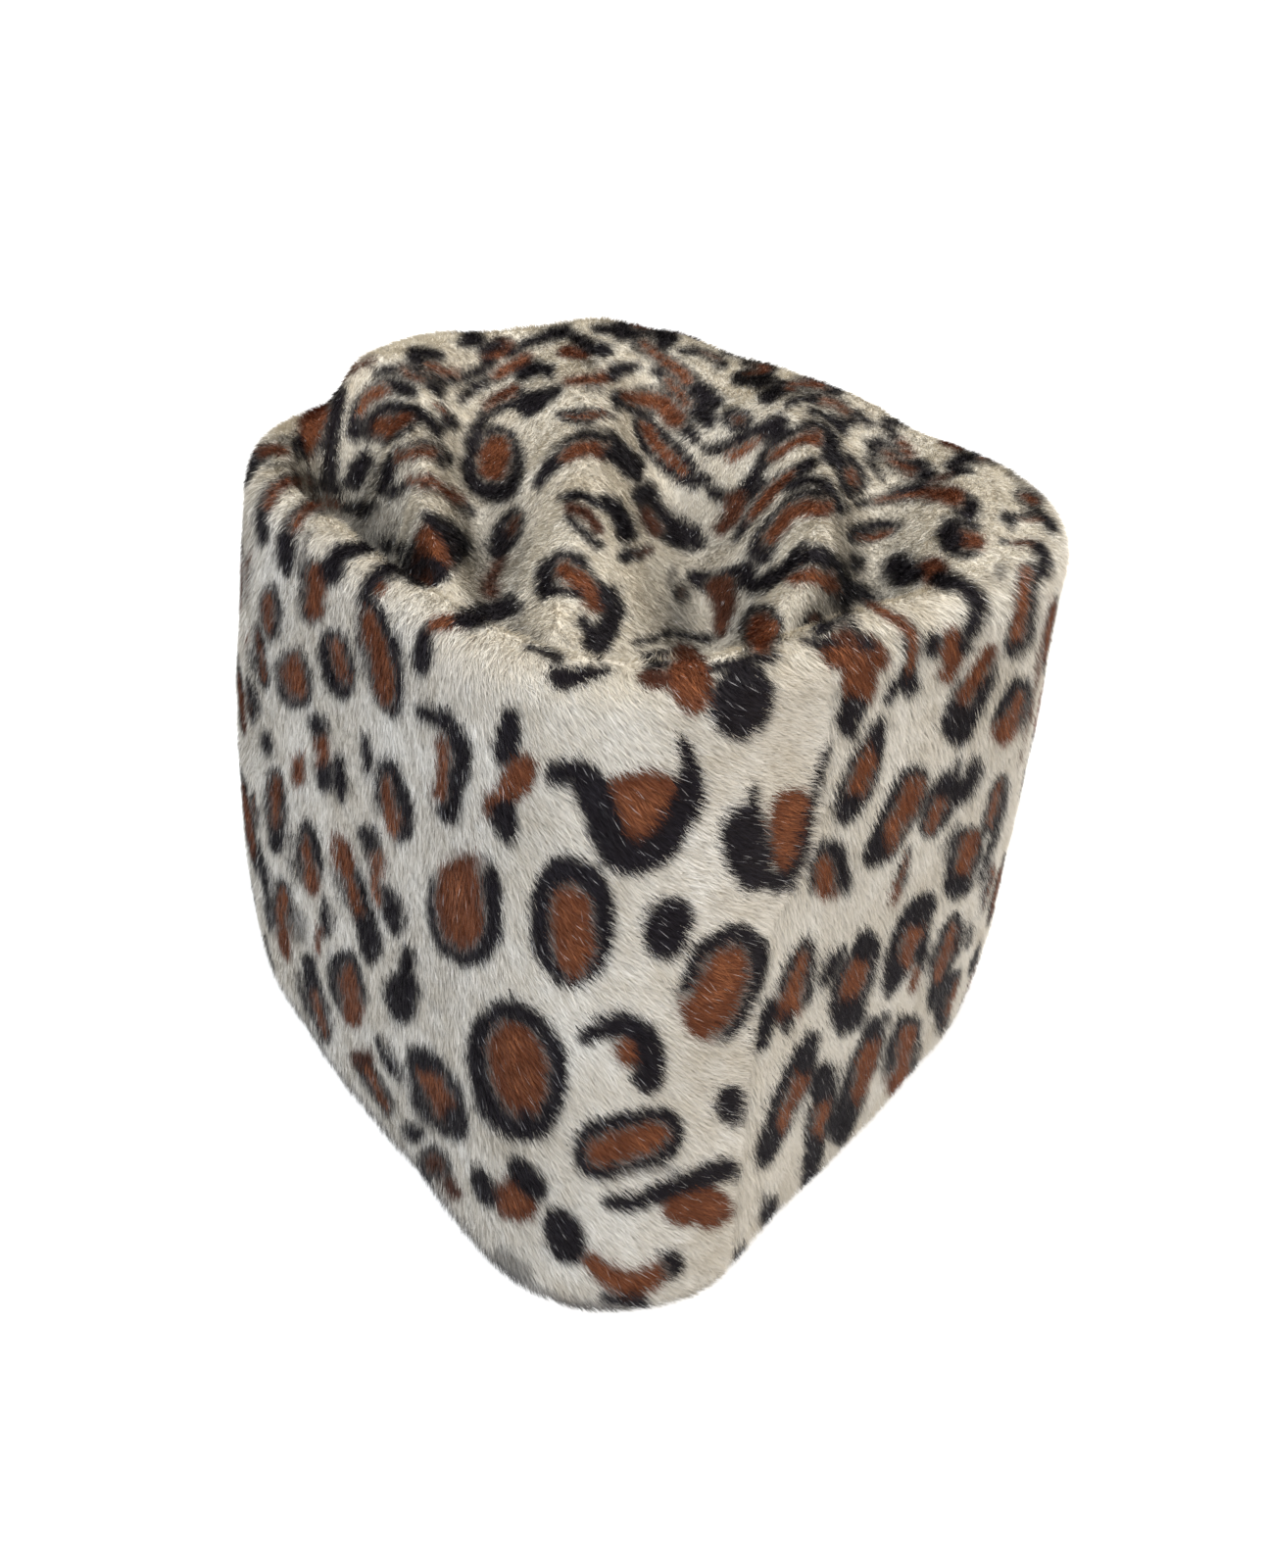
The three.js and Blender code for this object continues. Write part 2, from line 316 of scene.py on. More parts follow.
nap = unit(nap - skin_normals * (nap * skin_normals).sum(-1, keepdims=True))


def loop_faces(height, width, closed):
    i, j = np.meshgrid(np.arange(height if closed else height - 1), np.arange(width), indexing="ij")
    here = (i % height) * width
    there = ((i + 1) % height) * width
    nxt = (j + 1) % width
    return np.stack([here + j, here + nxt, there + nxt, there + j], -1).reshape(-1, 4)


# Which points of the surface the photo shows, and how far the others are from those
CHART_FACING = 0.18
CROWN_FACING = 0.03
CLEAR_FACING = 0.02
RAY_START = 1.5
flat_skin = skin.reshape(-1, 3)
flat_normals = skin_normals.reshape(-1, 3)
tree = BVHTree.FromPolygons(flat_skin.tolist(), loop_faces(*skin.shape[:2], False).tolist())
facing = ((eye - flat_skin) * flat_normals).sum(-1) / np.linalg.norm(eye - flat_skin, axis=-1)
clear = np.zeros(len(flat_skin), bool)
for k in np.nonzero(facing > CLEAR_FACING)[0]:
    start = Vector(flat_skin[k] + flat_normals[k] * RAY_START)
    way = Vector(eye) - start
    if tree.ray_cast(start, way.normalized(), way.length)[0] is None:
        clear[k] = True
on_wall = np.arange(len(flat_skin)) < (WALL_ROWS + 1) * COLUMNS
seen = clear & (facing > np.where(on_wall, CHART_FACING, CROWN_FACING))
near_tree = KDTree(int(seen.sum()))
for n, k in enumerate(np.nonzero(seen)[0]):
    near_tree.insert(flat_skin[k], n)
near_tree.balance()
unseen = np.zeros(len(flat_skin))
for k in np.nonzero(~seen)[0]:
    unseen[k] = near_tree.find(flat_skin[k])[2]
unseen = unseen.reshape(skin.shape[:2])

# How open the crown is to the sky, from rays no longer than a fold is wide
OPEN_REACH = 24.0
OPEN_RAYS = 16
OPEN_LEAST = 0.3
OPEN_SPAN = 0.55
OPEN_BLURS = 3
FOLD_SHADE = 0.35
CROWN_TINT = np.array([1.02, 0.985, 0.91])
open_ways = unit(np.random.default_rng(13).normal(0, 1, (OPEN_RAYS, 3)))
openness = np.ones(len(flat_skin))
for k in range(WALL_ROWS * COLUMNS, len(flat_skin)):
    start = Vector(flat_skin[k] + flat_normals[k])
    cosines = open_ways @ flat_normals[k]
    free = 0.0
    for way, cosine in zip(open_ways * np.sign(cosines)[:, None], np.abs(cosines)):
        if tree.ray_cast(start, Vector(way), OPEN_REACH)[0] is None:
            free += cosine
    openness[k] = free / np.abs(cosines).sum()
openness = openness.reshape(skin.shape[:2])
for _ in range(OPEN_BLURS):
    openness = 0.5 * openness + 0.25 * (np.roll(openness, 1, 1) + np.roll(openness, -1, 1))
    openness[1:-1] = 0.5 * openness[1:-1] + 0.25 * (openness[:-2] + openness[2:])
# Painted shade: the print is darkened where the crown's folds are closed to the sky, and the crown also
# takes a tint
fold_shade = mix(FOLD_SHADE, 1.0, smooth((openness - OPEN_LEAST) / OPEN_SPAN))
fold_shade_and_crown_tint = fold_shade[..., None] * mix(np.ones(3), CROWN_TINT, smooth(turned)[..., None])

# Leopard spots, charted over the photo, in its pixels
RIM_SCALE = 1.55
CORE_LEAST = 0.4
CORE_SPREAD = 0.4
GLOW_DEPTH = 0.9
BLACK_SPREAD = 1.5
CROWN_STROKE_SCALE = 1.25
CHART_MARGIN = 8
STROKE_MARGIN = 6
STROKE_STEPS = 6
STROKE_BLURS = 3
OVAL_POWER = 2.2
CHART_GAP = 22
# An oval has half sizes, a turn in degrees clockwise, the width of its dark rim, its core,
# the direction in which the rim is missing and the one in which it is thickest (0 up, 90 right).
Oval = namedtuple("Oval", "x y wide tall turn rim core opens heavy", defaults=(None, None))
B = "brown"
K = "black"
OVALS = [Oval(*row) for row in (
    # Left wall
    (388, 672, 21, 64, -14, 5, B, None, 90),
    (385, 600, 8, 8, 0, 0, B),
    (432, 663, 11, 24, 3, 11, K),
    (520, 751, 13, 29, 8, 13, K),
    (531, 796, 18, 29, 14, 0, B),
    (514, 826, 16, 18, 0, 0, B),
    (519, 843, 14, 20, 0, 14, K),
    (301, 695, 15, 29, -5, 4, B, None, 180),
    (343, 677, 17, 40, -8, 7, B, None, 225),
    (277, 630, 10, 27, -6, 3, B, None, 90),
    (266, 674, 8, 32, -12, 3, B, None, 150),
    (254, 716, 8, 24, -8, 3, B, None, 90),
    (245, 659, 4, 15, 0, 0, B),
    (248, 590, 6, 32, 4, 2, B, None, 270),
    (293, 573, 6, 16, 5, 4, "dark"),
    (320, 605, 12, 31, 4, 2, B, 90, 270),
    (309, 577, 4, 12, 5, 4, K),
    (271, 759, 5, 11, 0, 5, K),
    (281, 826, 9, 43, -4, 3, B, None, 0),
    (285, 856, 7, 12, -4, 7, K),
    (303, 787, 6, 17, -5, 0, B),
    (348, 798, 7, 24, -8, 7, K),
    (370, 771, 5, 20, -10, 5, K),
    (399, 821, 19, 44, -12, 7, B, 225, 60),
    (257, 830, 7, 22, -4, 3, B, None, 0),
    (474, 927, 40, 62, -4, 9, B, 350, 120),
    (315, 878, 16, 38, -6, 6, B, 180, 60),
    (359, 904, 14, 52, -16, 4, B, 0, 90),
    (375, 962, 9, 27, -18, 9, K),
    (399, 932, 10, 26, -12, 10, K),
    (412, 1019, 17, 27, -5, 17, K),
    (416, 984, 7, 16, -5, 7, K),
    (289, 940, 10, 42, -6, 3, B, 180, 0),
    (270, 905, 4, 50, -6, 4, K),
    (333, 935, 5, 24, -5, 5, K),
    (325, 961, 5, 17, 5, 0, B),
    (304, 948, 5, 16, -8, 5, "grey"),
    (356, 1011, 17, 44, -10, 6, B, 180, 0),
    (321, 1020, 10, 46, -14, 4, B, None, 0),
    (314, 992, 7, 18, -8, 7, K),
    (397, 1082, 6, 26, -22, 6, K),
    (382, 1110, 9, 38, -32, 3, B, None, 0),
    (369, 1083, 12, 7, 20, 7, "dark"),
    (446, 1116, 24, 52, -28, 7, B),
    (438, 1083, 19, 12, 20, 12, K),
    (464, 1146, 11, 17, -20, 11, K),
    (424, 1157, 10, 10, 0, 10, K),
    # Lower edge
    (530, 1091, 50, 71, -13, 13, B),
    (539, 1139, 7, 7, 0, 7, K),
    (526, 1227, 22, 24, 0, 0, B),
    (494, 1218, 10, 22, -25, 10, K),
    (538, 1203, 15, 28, -35, 15, K),
    (443, 1190, 14, 18, -30, 4, "dark"),
    (459, 1218, 7, 13, -30, 7, "dark"),
    (524, 1295, 24, 12, 35, 12, "grey"),
    (575, 1263, 20, 31, -25, 20, K),
    (684, 1294, 17, 12, -35, 12, K),
    # Front
    (672, 671, 14, 7, -10, 7, K),
    (701, 694, 24, 38, -10, 0, B),
    (666, 694, 16, 12, 0, 12, "dark"),
    (759, 718, 34, 37, 0, 34, K),
    (653, 826, 46, 38, 5, 0, B),
    (764, 864, 24, 44, 0, 24, K),
    (808, 849, 21, 47, 8, 0, B),
    (791, 900, 22, 9, 0, 9, K),
    (586, 943, 43, 68, -6, 13, B, None, 0),
    (685, 947, 24, 32, 20, 24, K),
    (738, 1004, 40, 63, 26, 10, B, 190, 0),
    (645, 1075, 14, 16, -10, 0, B),
    (643, 1168, 60, 33, -15, 10, B),
    (713, 1234, 36, 22, -8, 0, B),
    (749, 1131, 15, 19, 10, 15, K),
    # Right face, upper half
    (870, 668, 33, 20, 0, 0, B),
    (878, 696, 18, 24, 0, 0, B),
    (869, 731, 16, 21, 10, 16, K),
    (926, 668, 11, 34, 4, 3, B, None, 270),
    (915, 702, 8, 16, 25, 8, K),
    (932, 698, 6, 14, 0, 6, K),
    (950, 662, 8, 14, 0, 8, K),
    (971, 665, 13, 24, 10, 0, B),
    (984, 658, 7, 9, 0, 7, K),
    (962, 690, 10, 7, 0, 0, B),
    (991, 708, 18, 56, 24, 6, B, 340, 80),
    (979, 737, 16, 22, 10, 16, K),
    (1040, 650, 11, 26, 5, 4, B, None, 180),
    (1033, 730, 15, 40, 16, 6, B, 180, 315),
    (881, 788, 15, 58, 20, 4, B, None, 0),
    (899, 750, 9, 18, 20, 9, K),
    (866, 826, 10, 17, 20, 10, K),
    (916, 835, 17, 57, 26, 5, B, None, 250),
    (896, 868, 11, 20, 25, 11, K),
    (960, 823, 17, 36, 18, 6, B, None, 0),
    (965, 803, 11, 14, 18, 11, K),
    (988, 799, 6, 30, 20, 6, K),
    (976, 783, 4, 13, 10, 4, K),
    (1016, 824, 11, 32, 14, 4, B),
    (848, 890, 21, 33, 0, 7, B, 190, 60),
    (922, 897, 7, 32, 18, 3, B, 190, 0),
    (983, 880, 18, 39, 16, 5, B, None, 200),
    (979, 904, 16, 11, -10, 11, K),
    (1013, 872, 4, 34, 18, 4, K),
    (1015, 909, 6, 28, 10, 1, B),
    # Right face, lower half
    (815, 1004, 16, 50, 20, 5, B, 180, 0),
    (783, 1047, 9, 28, 18, 9, K),
    (805, 1044, 5, 14, 10, 5, K),
    (874, 1000, 19, 53, 20, 6, B),
    (884, 967, 13, 16, 20, 13, K),
    (867, 1038, 14, 20, 30, 14, K),
    (850, 986, 6, 22, 25, 6, K),
    (928, 962, 15, 54, 22, 5, B, None, 270),
    (941, 929, 11, 18, 25, 11, K),
    (912, 1001, 9, 18, 20, 9, K),
    (944, 976, 5, 24, 10, 5, K),
    (936, 1003, 5, 16, 12, 0, B),
    (967, 972, 12, 44, 17, 4, B, None, 0),
    (954, 1019, 5, 14, 15, 5, K),
    (970, 1025, 11, 36, 18, 4, B, 90, 270),
    (991, 955, 3, 14, 10, 3, K),
    (1012, 917, 6, 22, 12, 3, B),
    (806, 1123, 15, 74, 22, 5, B, None, 270),
    (826, 1076, 9, 24, 22, 9, K),
    (786, 1171, 12, 24, 22, 12, K),
    (836, 1147, 12, 66, 13, 4, B),
    (841, 1105, 11, 22, 15, 11, K),
    (827, 1186, 9, 26, 14, 9, K),
    (876, 1103, 14, 66, 20, 4, B, 90, 270),
    (892, 1052, 10, 15, 35, 10, K),
    (862, 1146, 11, 24, 20, 11, K),
    (920, 1080, 17, 47, 12, 5, B, 180, 320),
    (907, 1038, 4, 6, 0, 4, K),
    (784, 1234, 9, 18, 15, 9, K),
    (755, 1282, 6, 11, 30, 6, K),
    # Crown, left
    (319, 437, 17, 32, 22, 2, B, 270, 90),
    (287, 446, 9, 5, 0, 5, "grey"),
    (362, 486, 13, 14, 25, 13, K),
    (403, 434, 29, 17, -28, 4, B, None, 90),
    (450, 557, 27, 26, 20, 3, B, 290, 60),
    (430, 580, 26, 13, 10, 13, K),
    (459, 430, 11, 9, 40, 9, K),
    (448, 417, 9, 4, 30, 0, B),
    (506, 357, 18, 11, -35, 0, B),
    (481, 346, 12, 8, 0, 8, K),
    (503, 474, 31, 40, 14, 9, B, None, 200),
    (518, 541, 14, 28, 24, 6, "dark", None, 200),
    # Crown, middle
    (587, 360, 19, 7, 8, 0, B),
    (598, 424, 27, 7, 0, 3, B, None, 270),
    (681, 463, 16, 48, -38, 6, B, None, 180),
    (645, 566, 15, 7, -15, 7, K),
    (686, 588, 4, 8, 20, 4, "grey"),
    (698, 606, 9, 7, 35, 5, "dark"),
    # Crown, right
    (770, 379, 22, 10, -22, 4, B, None, 260),
    (752, 429, 16, 12, 25, 5, "dark"),
    (869, 487, 15, 24, -10, 7, B),
    (888, 544, 26, 12, -14, 6, B, 150, 330),
    (876, 574, 11, 7, 30, 7, K),
    (973, 451, 13, 5, 15, 0, B),
    (983, 553, 27, 17, 8, 4, B, 90, 270),
    (970, 551, 14, 15, 0, 14, K),
    (950, 584, 18, 15, 20, 0, B),
    (921, 583, 19, 15, 32, 15, K),
    (878, 606, 16, 13, 25, 13, K),
    (1051, 506, 15, 8, 20, 2, B),
    (1033, 531, 8, 8, 0, 8, K),
    (1024, 552, 4, 3, 0, 3, K),
    (1022, 585, 6, 6, 0, 6, "grey"),
    (776, 645, 20, 26, 0, 3, B, None, 0),
)]

# Strokes run through points and taper between two radii
Stroke = namedtuple("Stroke", "ink start end path")
STROKES = [Stroke(*row) for row in (
    # Left wall
    (K, 5, 6, [(365, 611), (378, 590), (402, 583)]),
    (B, 9, 9, [(446, 638), (474, 634)]),
    (K, 9, 12, [(474, 632), (500, 624), (520, 619)]),
    ("dark", 9, 6, [(500, 604), (504, 588), (509, 572)]),
    (K, 8, 12, [(436, 728), (456, 735), (473, 770), (471, 800), (456, 830)]),
    (B, 7, 9, [(449, 758), (454, 785), (448, 812)]),
    (K, 10, 5, [(335, 588), (343, 566), (378, 557), (408, 566)]),
    (K, 8, 9, [(319, 737), (324, 752)]),
    (B, 8, 8, [(325, 760), (329, 784)]),
    (K, 8, 7, [(330, 792), (333, 804)]),
    (K, 6, 5, [(374, 848), (380, 868), (386, 886)]),
    (B, 5, 5, [(384, 872), (388, 898), (388, 925)]),
    # Front
    (K, 3, 5, [(540, 661), (568, 672)]),
    (K, 12, 4, [(570, 693), (592, 689), (617, 682)]),
    (K, 6, 5, [(727, 681), (760, 676), (792, 674)]),
    (K, 4, 5, [(823, 652), (842, 659), (866, 655), (888, 661)]),
    (K, 12, 17, [(572, 793), (600, 795), (612, 830), (628, 872)]),
    (K, 16, 17, [(628, 872), (650, 880), (680, 862), (703, 825)]),
    (K, 17, 6, [(703, 825), (703, 790), (698, 758)]),
    (K, 4, 6, [(843, 762), (834, 811), (817, 879), (796, 905)]),
    (K, 4, 8, [(772, 802), (770, 830)]),
    (K, 9, 10, [(602, 1057), (622, 1048), (646, 1045)]),
    (K, 9, 15, [(640, 1044), (664, 1058), (671, 1082), (664, 1100)]),
    ("grey", 4, 4, [(640, 1202), (662, 1196), (690, 1196)]),
    (K, 7, 12, [(622, 1228), (650, 1231), (682, 1216), (718, 1203), (744, 1193)]),
    (B, 12, 14, [(606, 1290), (625, 1305), (645, 1313)]),
    (B, 14, 12, [(645, 1313), (662, 1308), (672, 1300)]),
    (K, 5, 6, [(620, 1326), (640, 1329), (655, 1329)]),
    # Light pucker where the seam meets the rim
    ("cream", 6, 5, [(880, 638), (903, 646), (913, 666), (904, 693), (897, 716), (887, 733), (879, 746)]),
)]
CROWN_STROKES = [Stroke(*row) for row in (
    # Crown, left
    ("grey", 4, 3, [(272, 476), (300, 472)]),
    (K, 5, 7, [(249, 491), (255, 470), (270, 458)]),
    (B, 5, 4, [(266, 459), (277, 454), (290, 458)]),
    (K, 6, 6, [(344, 402), (342, 437), (331, 485)]),
    (K, 5, 3, [(303, 448), (308, 467)]),
    ("dark", 3, 3, [(340, 391), (360, 378), (378, 366)]),
    ("grey", 2, 2, [(312, 414), (335, 397)]),
    (K, 7, 6, [(364, 446), (366, 420), (381, 401), (403, 392), (417, 396)]),
    (B, 4, 6, [(370, 424), (378, 408), (394, 399)]),
    (K, 4, 4, [(387, 380), (406, 375), (431, 383), (453, 401)]),
    (B, 2, 3, [(410, 376), (434, 385)]),
    (K, 3, 5, [(378, 451), (380, 430), (392, 417), (410, 414), (431, 424), (447, 442)]),
    (K, 4, 8, [(333, 501), (352, 492), (372, 474)]),
    (K, 6, 5, [(387, 501), (392, 482), (406, 468), (428, 459), (442, 459), (456, 474)]),
    (B, 4, 5, [(405, 470), (424, 461), (444, 465)]),
    (K, 5, 2, [(396, 509), (410, 500), (424, 491), (438, 491), (456, 503), (483, 527)]),
    (B, 4, 4, [(416, 493), (434, 489), (452, 498), (470, 512)]),
    (K, 6, 6, [(437, 528), (455, 536), (470, 552), (476, 563)]),
    (K, 4, 7, [(401, 557), (412, 567), (422, 580)]),
    (K, 6, 5, [(269, 551), (267, 526), (276, 502), (294, 489), (315, 490), (326, 496)]),
    (B, 5, 5, [(273, 520), (280, 503), (296, 491), (312, 493)]),
    (K, 6, 5, [(290, 580), (294, 546), (306, 524), (324, 514), (342, 518), (360, 523), (377, 518)]),
    (B, 4, 4, [(303, 538), (311, 522), (326, 514), (342, 517)]),
    ("grey", 4, 3, [(306, 580), (310, 562), (317, 546)]),
    (K, 4, 5, [(419, 358), (434, 360), (449, 363)]),
    (K, 5, 5, [(421, 367), (437, 375), (458, 388), (469, 391), (485, 384), (498, 373)]),
    (B, 3, 4, [(438, 374), (455, 382), (468, 384)]),
    (K, 4, 4, [(493, 357), (508, 351)]),
    (K, 4, 8, [(478, 452), (485, 436), (500, 418), (519, 406), (545, 408)]),
    (B, 3, 4, [(497, 415), (510, 405), (526, 399)]),
    (K, 8, 4, [(536, 412), (552, 402), (568, 400)]),
    (K, 3, 5, [(476, 408), (499, 391), (520, 378)]),
    (B, 5, 7, [(506, 384), (520, 376), (534, 368)]),
    (K, 6, 5, [(530, 384), (548, 374), (561, 379)]),
    (K, 3, 5, [(517, 363), (535, 349), (556, 344), (579, 338)]),
    # Crown, middle
    (K, 3, 5, [(608, 333), (629, 334), (640, 336)]),
    (K, 7, 7, [(634, 338), (652, 334), (668, 334), (681, 347)]),
    (B, 3, 3, [(650, 331), (668, 333)]),
    (K, 5, 6, [(589, 345), (604, 354), (619, 358)]),
    ("grey", 3, 3, [(594, 373), (610, 370)]),
    (B, 4, 7, [(578, 391), (600, 391), (624, 383)]),
    (K, 6, 4, [(628, 381), (649, 375)]),
    ("grey", 3, 3, [(600, 399), (616, 399)]),
    (K, 6, 9, [(650, 349), (669, 359), (688, 375), (706, 389), (726, 407)]),
    (B, 4, 6, [(655, 350), (672, 362), (690, 378), (702, 387)]),
    (K, 4, 8, [(669, 379), (685, 395), (703, 412), (722, 429)]),
    (B, 3, 4, [(680, 389), (694, 403), (704, 412)]),
    (K, 7, 9, [(632, 409), (648, 413), (668, 412)]),
    (K, 10, 4, [(660, 408), (684, 415), (698, 434), (710, 452)]),
    (B, 5, 9, [(640, 405), (658, 407), (676, 414), (690, 427)]),
    ("grey", 3, 3, [(592, 438), (612, 438)]),
    (K, 4, 10, [(549, 493), (565, 470), (583, 453), (602, 446), (622, 451), (636, 464), (648, 478)]),
    (B, 5, 8, [(576, 464), (590, 457), (605, 456), (620, 461)]),
    (K, 8, 6, [(628, 463), (646, 474)]),
    (K, 11, 10, [(660, 506), (670, 524), (684, 540), (706, 550)]),
    ("dark", 7, 7, [(660, 524), (668, 540)]),
    (K, 5, 4, [(578, 508), (592, 503), (606, 511)]),
    ("dark", 5, 5, [(580, 520), (598, 524), (610, 539)]),
    (K, 3, 3, [(580, 531), (597, 545), (611, 557)]),
    (K, 6, 7, [(616, 511), (630, 520), (639, 533), (641, 544)]),
    (K, 9, 7, [(507, 561), (511, 545)]),
    ("dark", 3, 3, [(653, 564), (662, 562)]),
    (K, 8, 4, [(556, 600), (557, 582), (576, 568), (593, 571), (605, 588), (624, 602)]),
    (B, 9, 11, [(577, 580), (594, 592), (608, 614)]),
    (K, 10, 10, [(622, 606), (628, 624), (620, 646), (610, 658)]),
    (K, 5, 4, [(554, 606), (570, 602), (586, 606)]),
    (K, 5, 6, [(594, 634), (607, 648)]),
    # Crown, right
    (K, 7, 12, [(712, 590), (734, 598), (756, 590)]),
    ("dark", 11, 7, [(734, 600), (740, 622), (736, 640)]),
    (K, 2, 3, [(655, 655), (674, 646), (700, 646), (725, 650)]),
    (K, 2, 4, [(697, 357), (714, 359), (735, 371)]),
    (B, 1, 2, [(714, 359), (730, 367)]),
    (K, 2, 3, [(737, 359), (763, 364)]),
    (K, 3, 2, [(771, 393), (792, 384)]),
    (K, 6, 5, [(779, 405), (794, 397), (813, 391), (834, 389), (852, 398)]),
    (B, 3, 4, [(803, 394), (822, 389), (840, 391)]),
    (K, 4, 8, [(721, 460), (742, 458), (767, 448), (794, 431)]),
    (B, 4, 3, [(742, 466), (760, 460), (774, 450)]),
    (K, 5, 9, [(770, 482), (782, 463), (798, 447), (819, 438), (836, 440), (848, 454), (848, 468)]),
    (B, 4, 6, [(786, 466), (802, 450), (818, 444), (832, 448)]),
    (K, 3, 5, [(803, 412), (823, 405), (844, 406), (861, 415), (872, 431)]),
    (B, 3, 3, [(840, 407), (856, 412), (866, 422)]),
    (K, 2, 5, [(823, 420), (842, 422), (863, 437)]),
    (K, 2, 3, [(878, 422), (889, 434)]),
    (K, 4, 2, [(886, 456), (891, 472), (901, 486)]),
    (K, 5, 5, [(897, 454), (909, 468), (926, 481), (946, 485)]),
    (B, 3, 4, [(901, 461), (912, 472), (930, 482)]),
    (K, 4, 5, [(903, 433), (911, 449), (922, 466), (941, 476)]),
    (B, 5, 5, [(918, 452), (927, 463)]),
    (K, 2, 3, [(902, 429), (928, 431)]),
    (K, 5, 10, [(716, 489), (734, 506), (748, 510), (769, 496)]),
    ("dark", 8, 4, [(750, 508), (746, 526), (731, 541)]),
    (K, 5, 6, [(752, 543), (767, 523), (782, 503), (802, 485), (826, 476)]),
    (B, 5, 6, [(766, 524), (784, 503), (804, 488)]),
    (K, 4, 3, [(803, 499), (823, 490), (841, 496), (852, 509), (862, 524)]),
    (K, 9, 6, [(773, 566), (782, 542), (802, 520), (823, 508), (842, 509), (855, 520)]),
    (B, 6, 7, [(784, 548), (800, 526), (822, 516), (840, 518)]),
    (K, 6, 9, [(767, 603), (790, 588), (810, 570), (828, 564), (845, 570), (857, 588), (861, 610)]),
    (K, 5, 3, [(861, 610), (860, 634)]),
    ("rust", 6, 8, [(806, 592), (826, 586), (846, 594)]),
    (K, 6, 3, [(841, 642), (852, 640)]),
    (K, 7, 5, [(868, 647), (876, 654)]),
    (K, 4, 4, [(966, 474), (981, 462), (1000, 465), (1021, 468)]),
    (B, 2, 2, [(1000, 466), (1020, 468)]),
    (K, 3, 3, [(968, 479), (981, 471), (993, 467)]),
    (K, 4, 3, [(966, 484), (977, 481), (989, 482)]),
    ("dark", 2, 3, [(946, 493), (966, 488)]),
    (K, 2, 9, [(875, 518), (893, 513), (910, 508), (935, 504), (959, 504), (976, 510), (991, 521)]),
    (B, 2, 8, [(893, 513), (912, 507), (937, 503), (960, 505), (974, 509)]),
    (K, 3, 4, [(914, 500), (928, 497), (942, 495)]),
    (K, 2, 2, [(966, 531), (984, 534), (1001, 538)]),
    (K, 7, 8, [(959, 592), (984, 597), (1001, 608), (1003, 622), (993, 640)]),
    ("rust", 5, 6, [(888, 616), (904, 624), (921, 632), (930, 650)]),
    ("dark", 6, 5, [(862, 650), (874, 656)]),
    ("grey", 3, 3, [(1032, 481), (1042, 491)]),
    (K, 4, 4, [(1041, 527), (1056, 521), (1067, 526), (1075, 537)]),
    (B, 2, 3, [(1045, 530), (1058, 527)]),
    ("dark", 3, 4, [(1034, 553), (1051, 551), (1060, 557)]),
    (K, 5, 6, [(1060, 557), (1069, 571), (1063, 587)]),
    (K, 9, 9, [(1052, 588), (1048, 620), (1042, 655)]),
    (B, 5, 7, [(1050, 586), (1045, 616), (1040, 650)]),
    ("dark", 2, 3, [(1073, 612), (1068, 640), (1060, 700), (1044, 787)]),
)]

# Cover with black and with brown that each ink leaves, None where it keeps what is there
INKS = {K: (1.0, None), B: (0.0, 1.0), "dark": (0.45, 1.0), "grey": (0.55, None),
        "rust": (0.0, 1.0), "cream": (0.0, 0.0)}


def lay_ink(black, brown, ink, cover, where):
    to_black, to_brown = INKS[ink]
    black[where] += cover * (to_black - black[where])
    if to_brown is not None:
        brown[where] += cover * (to_brown - brown[where])


def cover_of(depth, soft):
    return smooth(0.5 + depth / (2 * soft))


def oval_depth(u, v, wide, tall):
    """How far inside the edge of a full oval each point lies, negative outside."""
    far = np.hypot(u, v) + 1e-6
    share = (np.abs(u / wide) ** OVAL_POWER + np.abs(v / tall) ** OVAL_POWER) ** (1 / OVAL_POWER) + 1e-6
    return (1 - share) * far / share


def bearing_off(u, v, way):
    """Degrees between a point's bearing (0 up, 90 right) and another."""
    bearing = np.degrees(np.arctan2(u, -v))
    return np.abs((bearing - way + 180) % 360 - 180)


def stroke_depth(x, y, bend, fine, start, end):
    """How far inside a stroke that runs through bend each point lies."""
    depth = np.full(len(x), -1e9)
    for i in range(len(bend) - 1):
        run = bend[i + 1] - bend[i]
        t = ((x - bend[i, 0]) * run[0] + (y - bend[i, 1]) * run[1]) / (run @ run)
        t = np.clip(t, 0, 1)
        gap = np.hypot(x - bend[i, 0] - run[0] * t, y - bend[i, 1] - run[1] * t)
        depth = np.maximum(depth, mix(start, end, mix(fine[i], fine[i + 1], t)) - gap)
    return depth


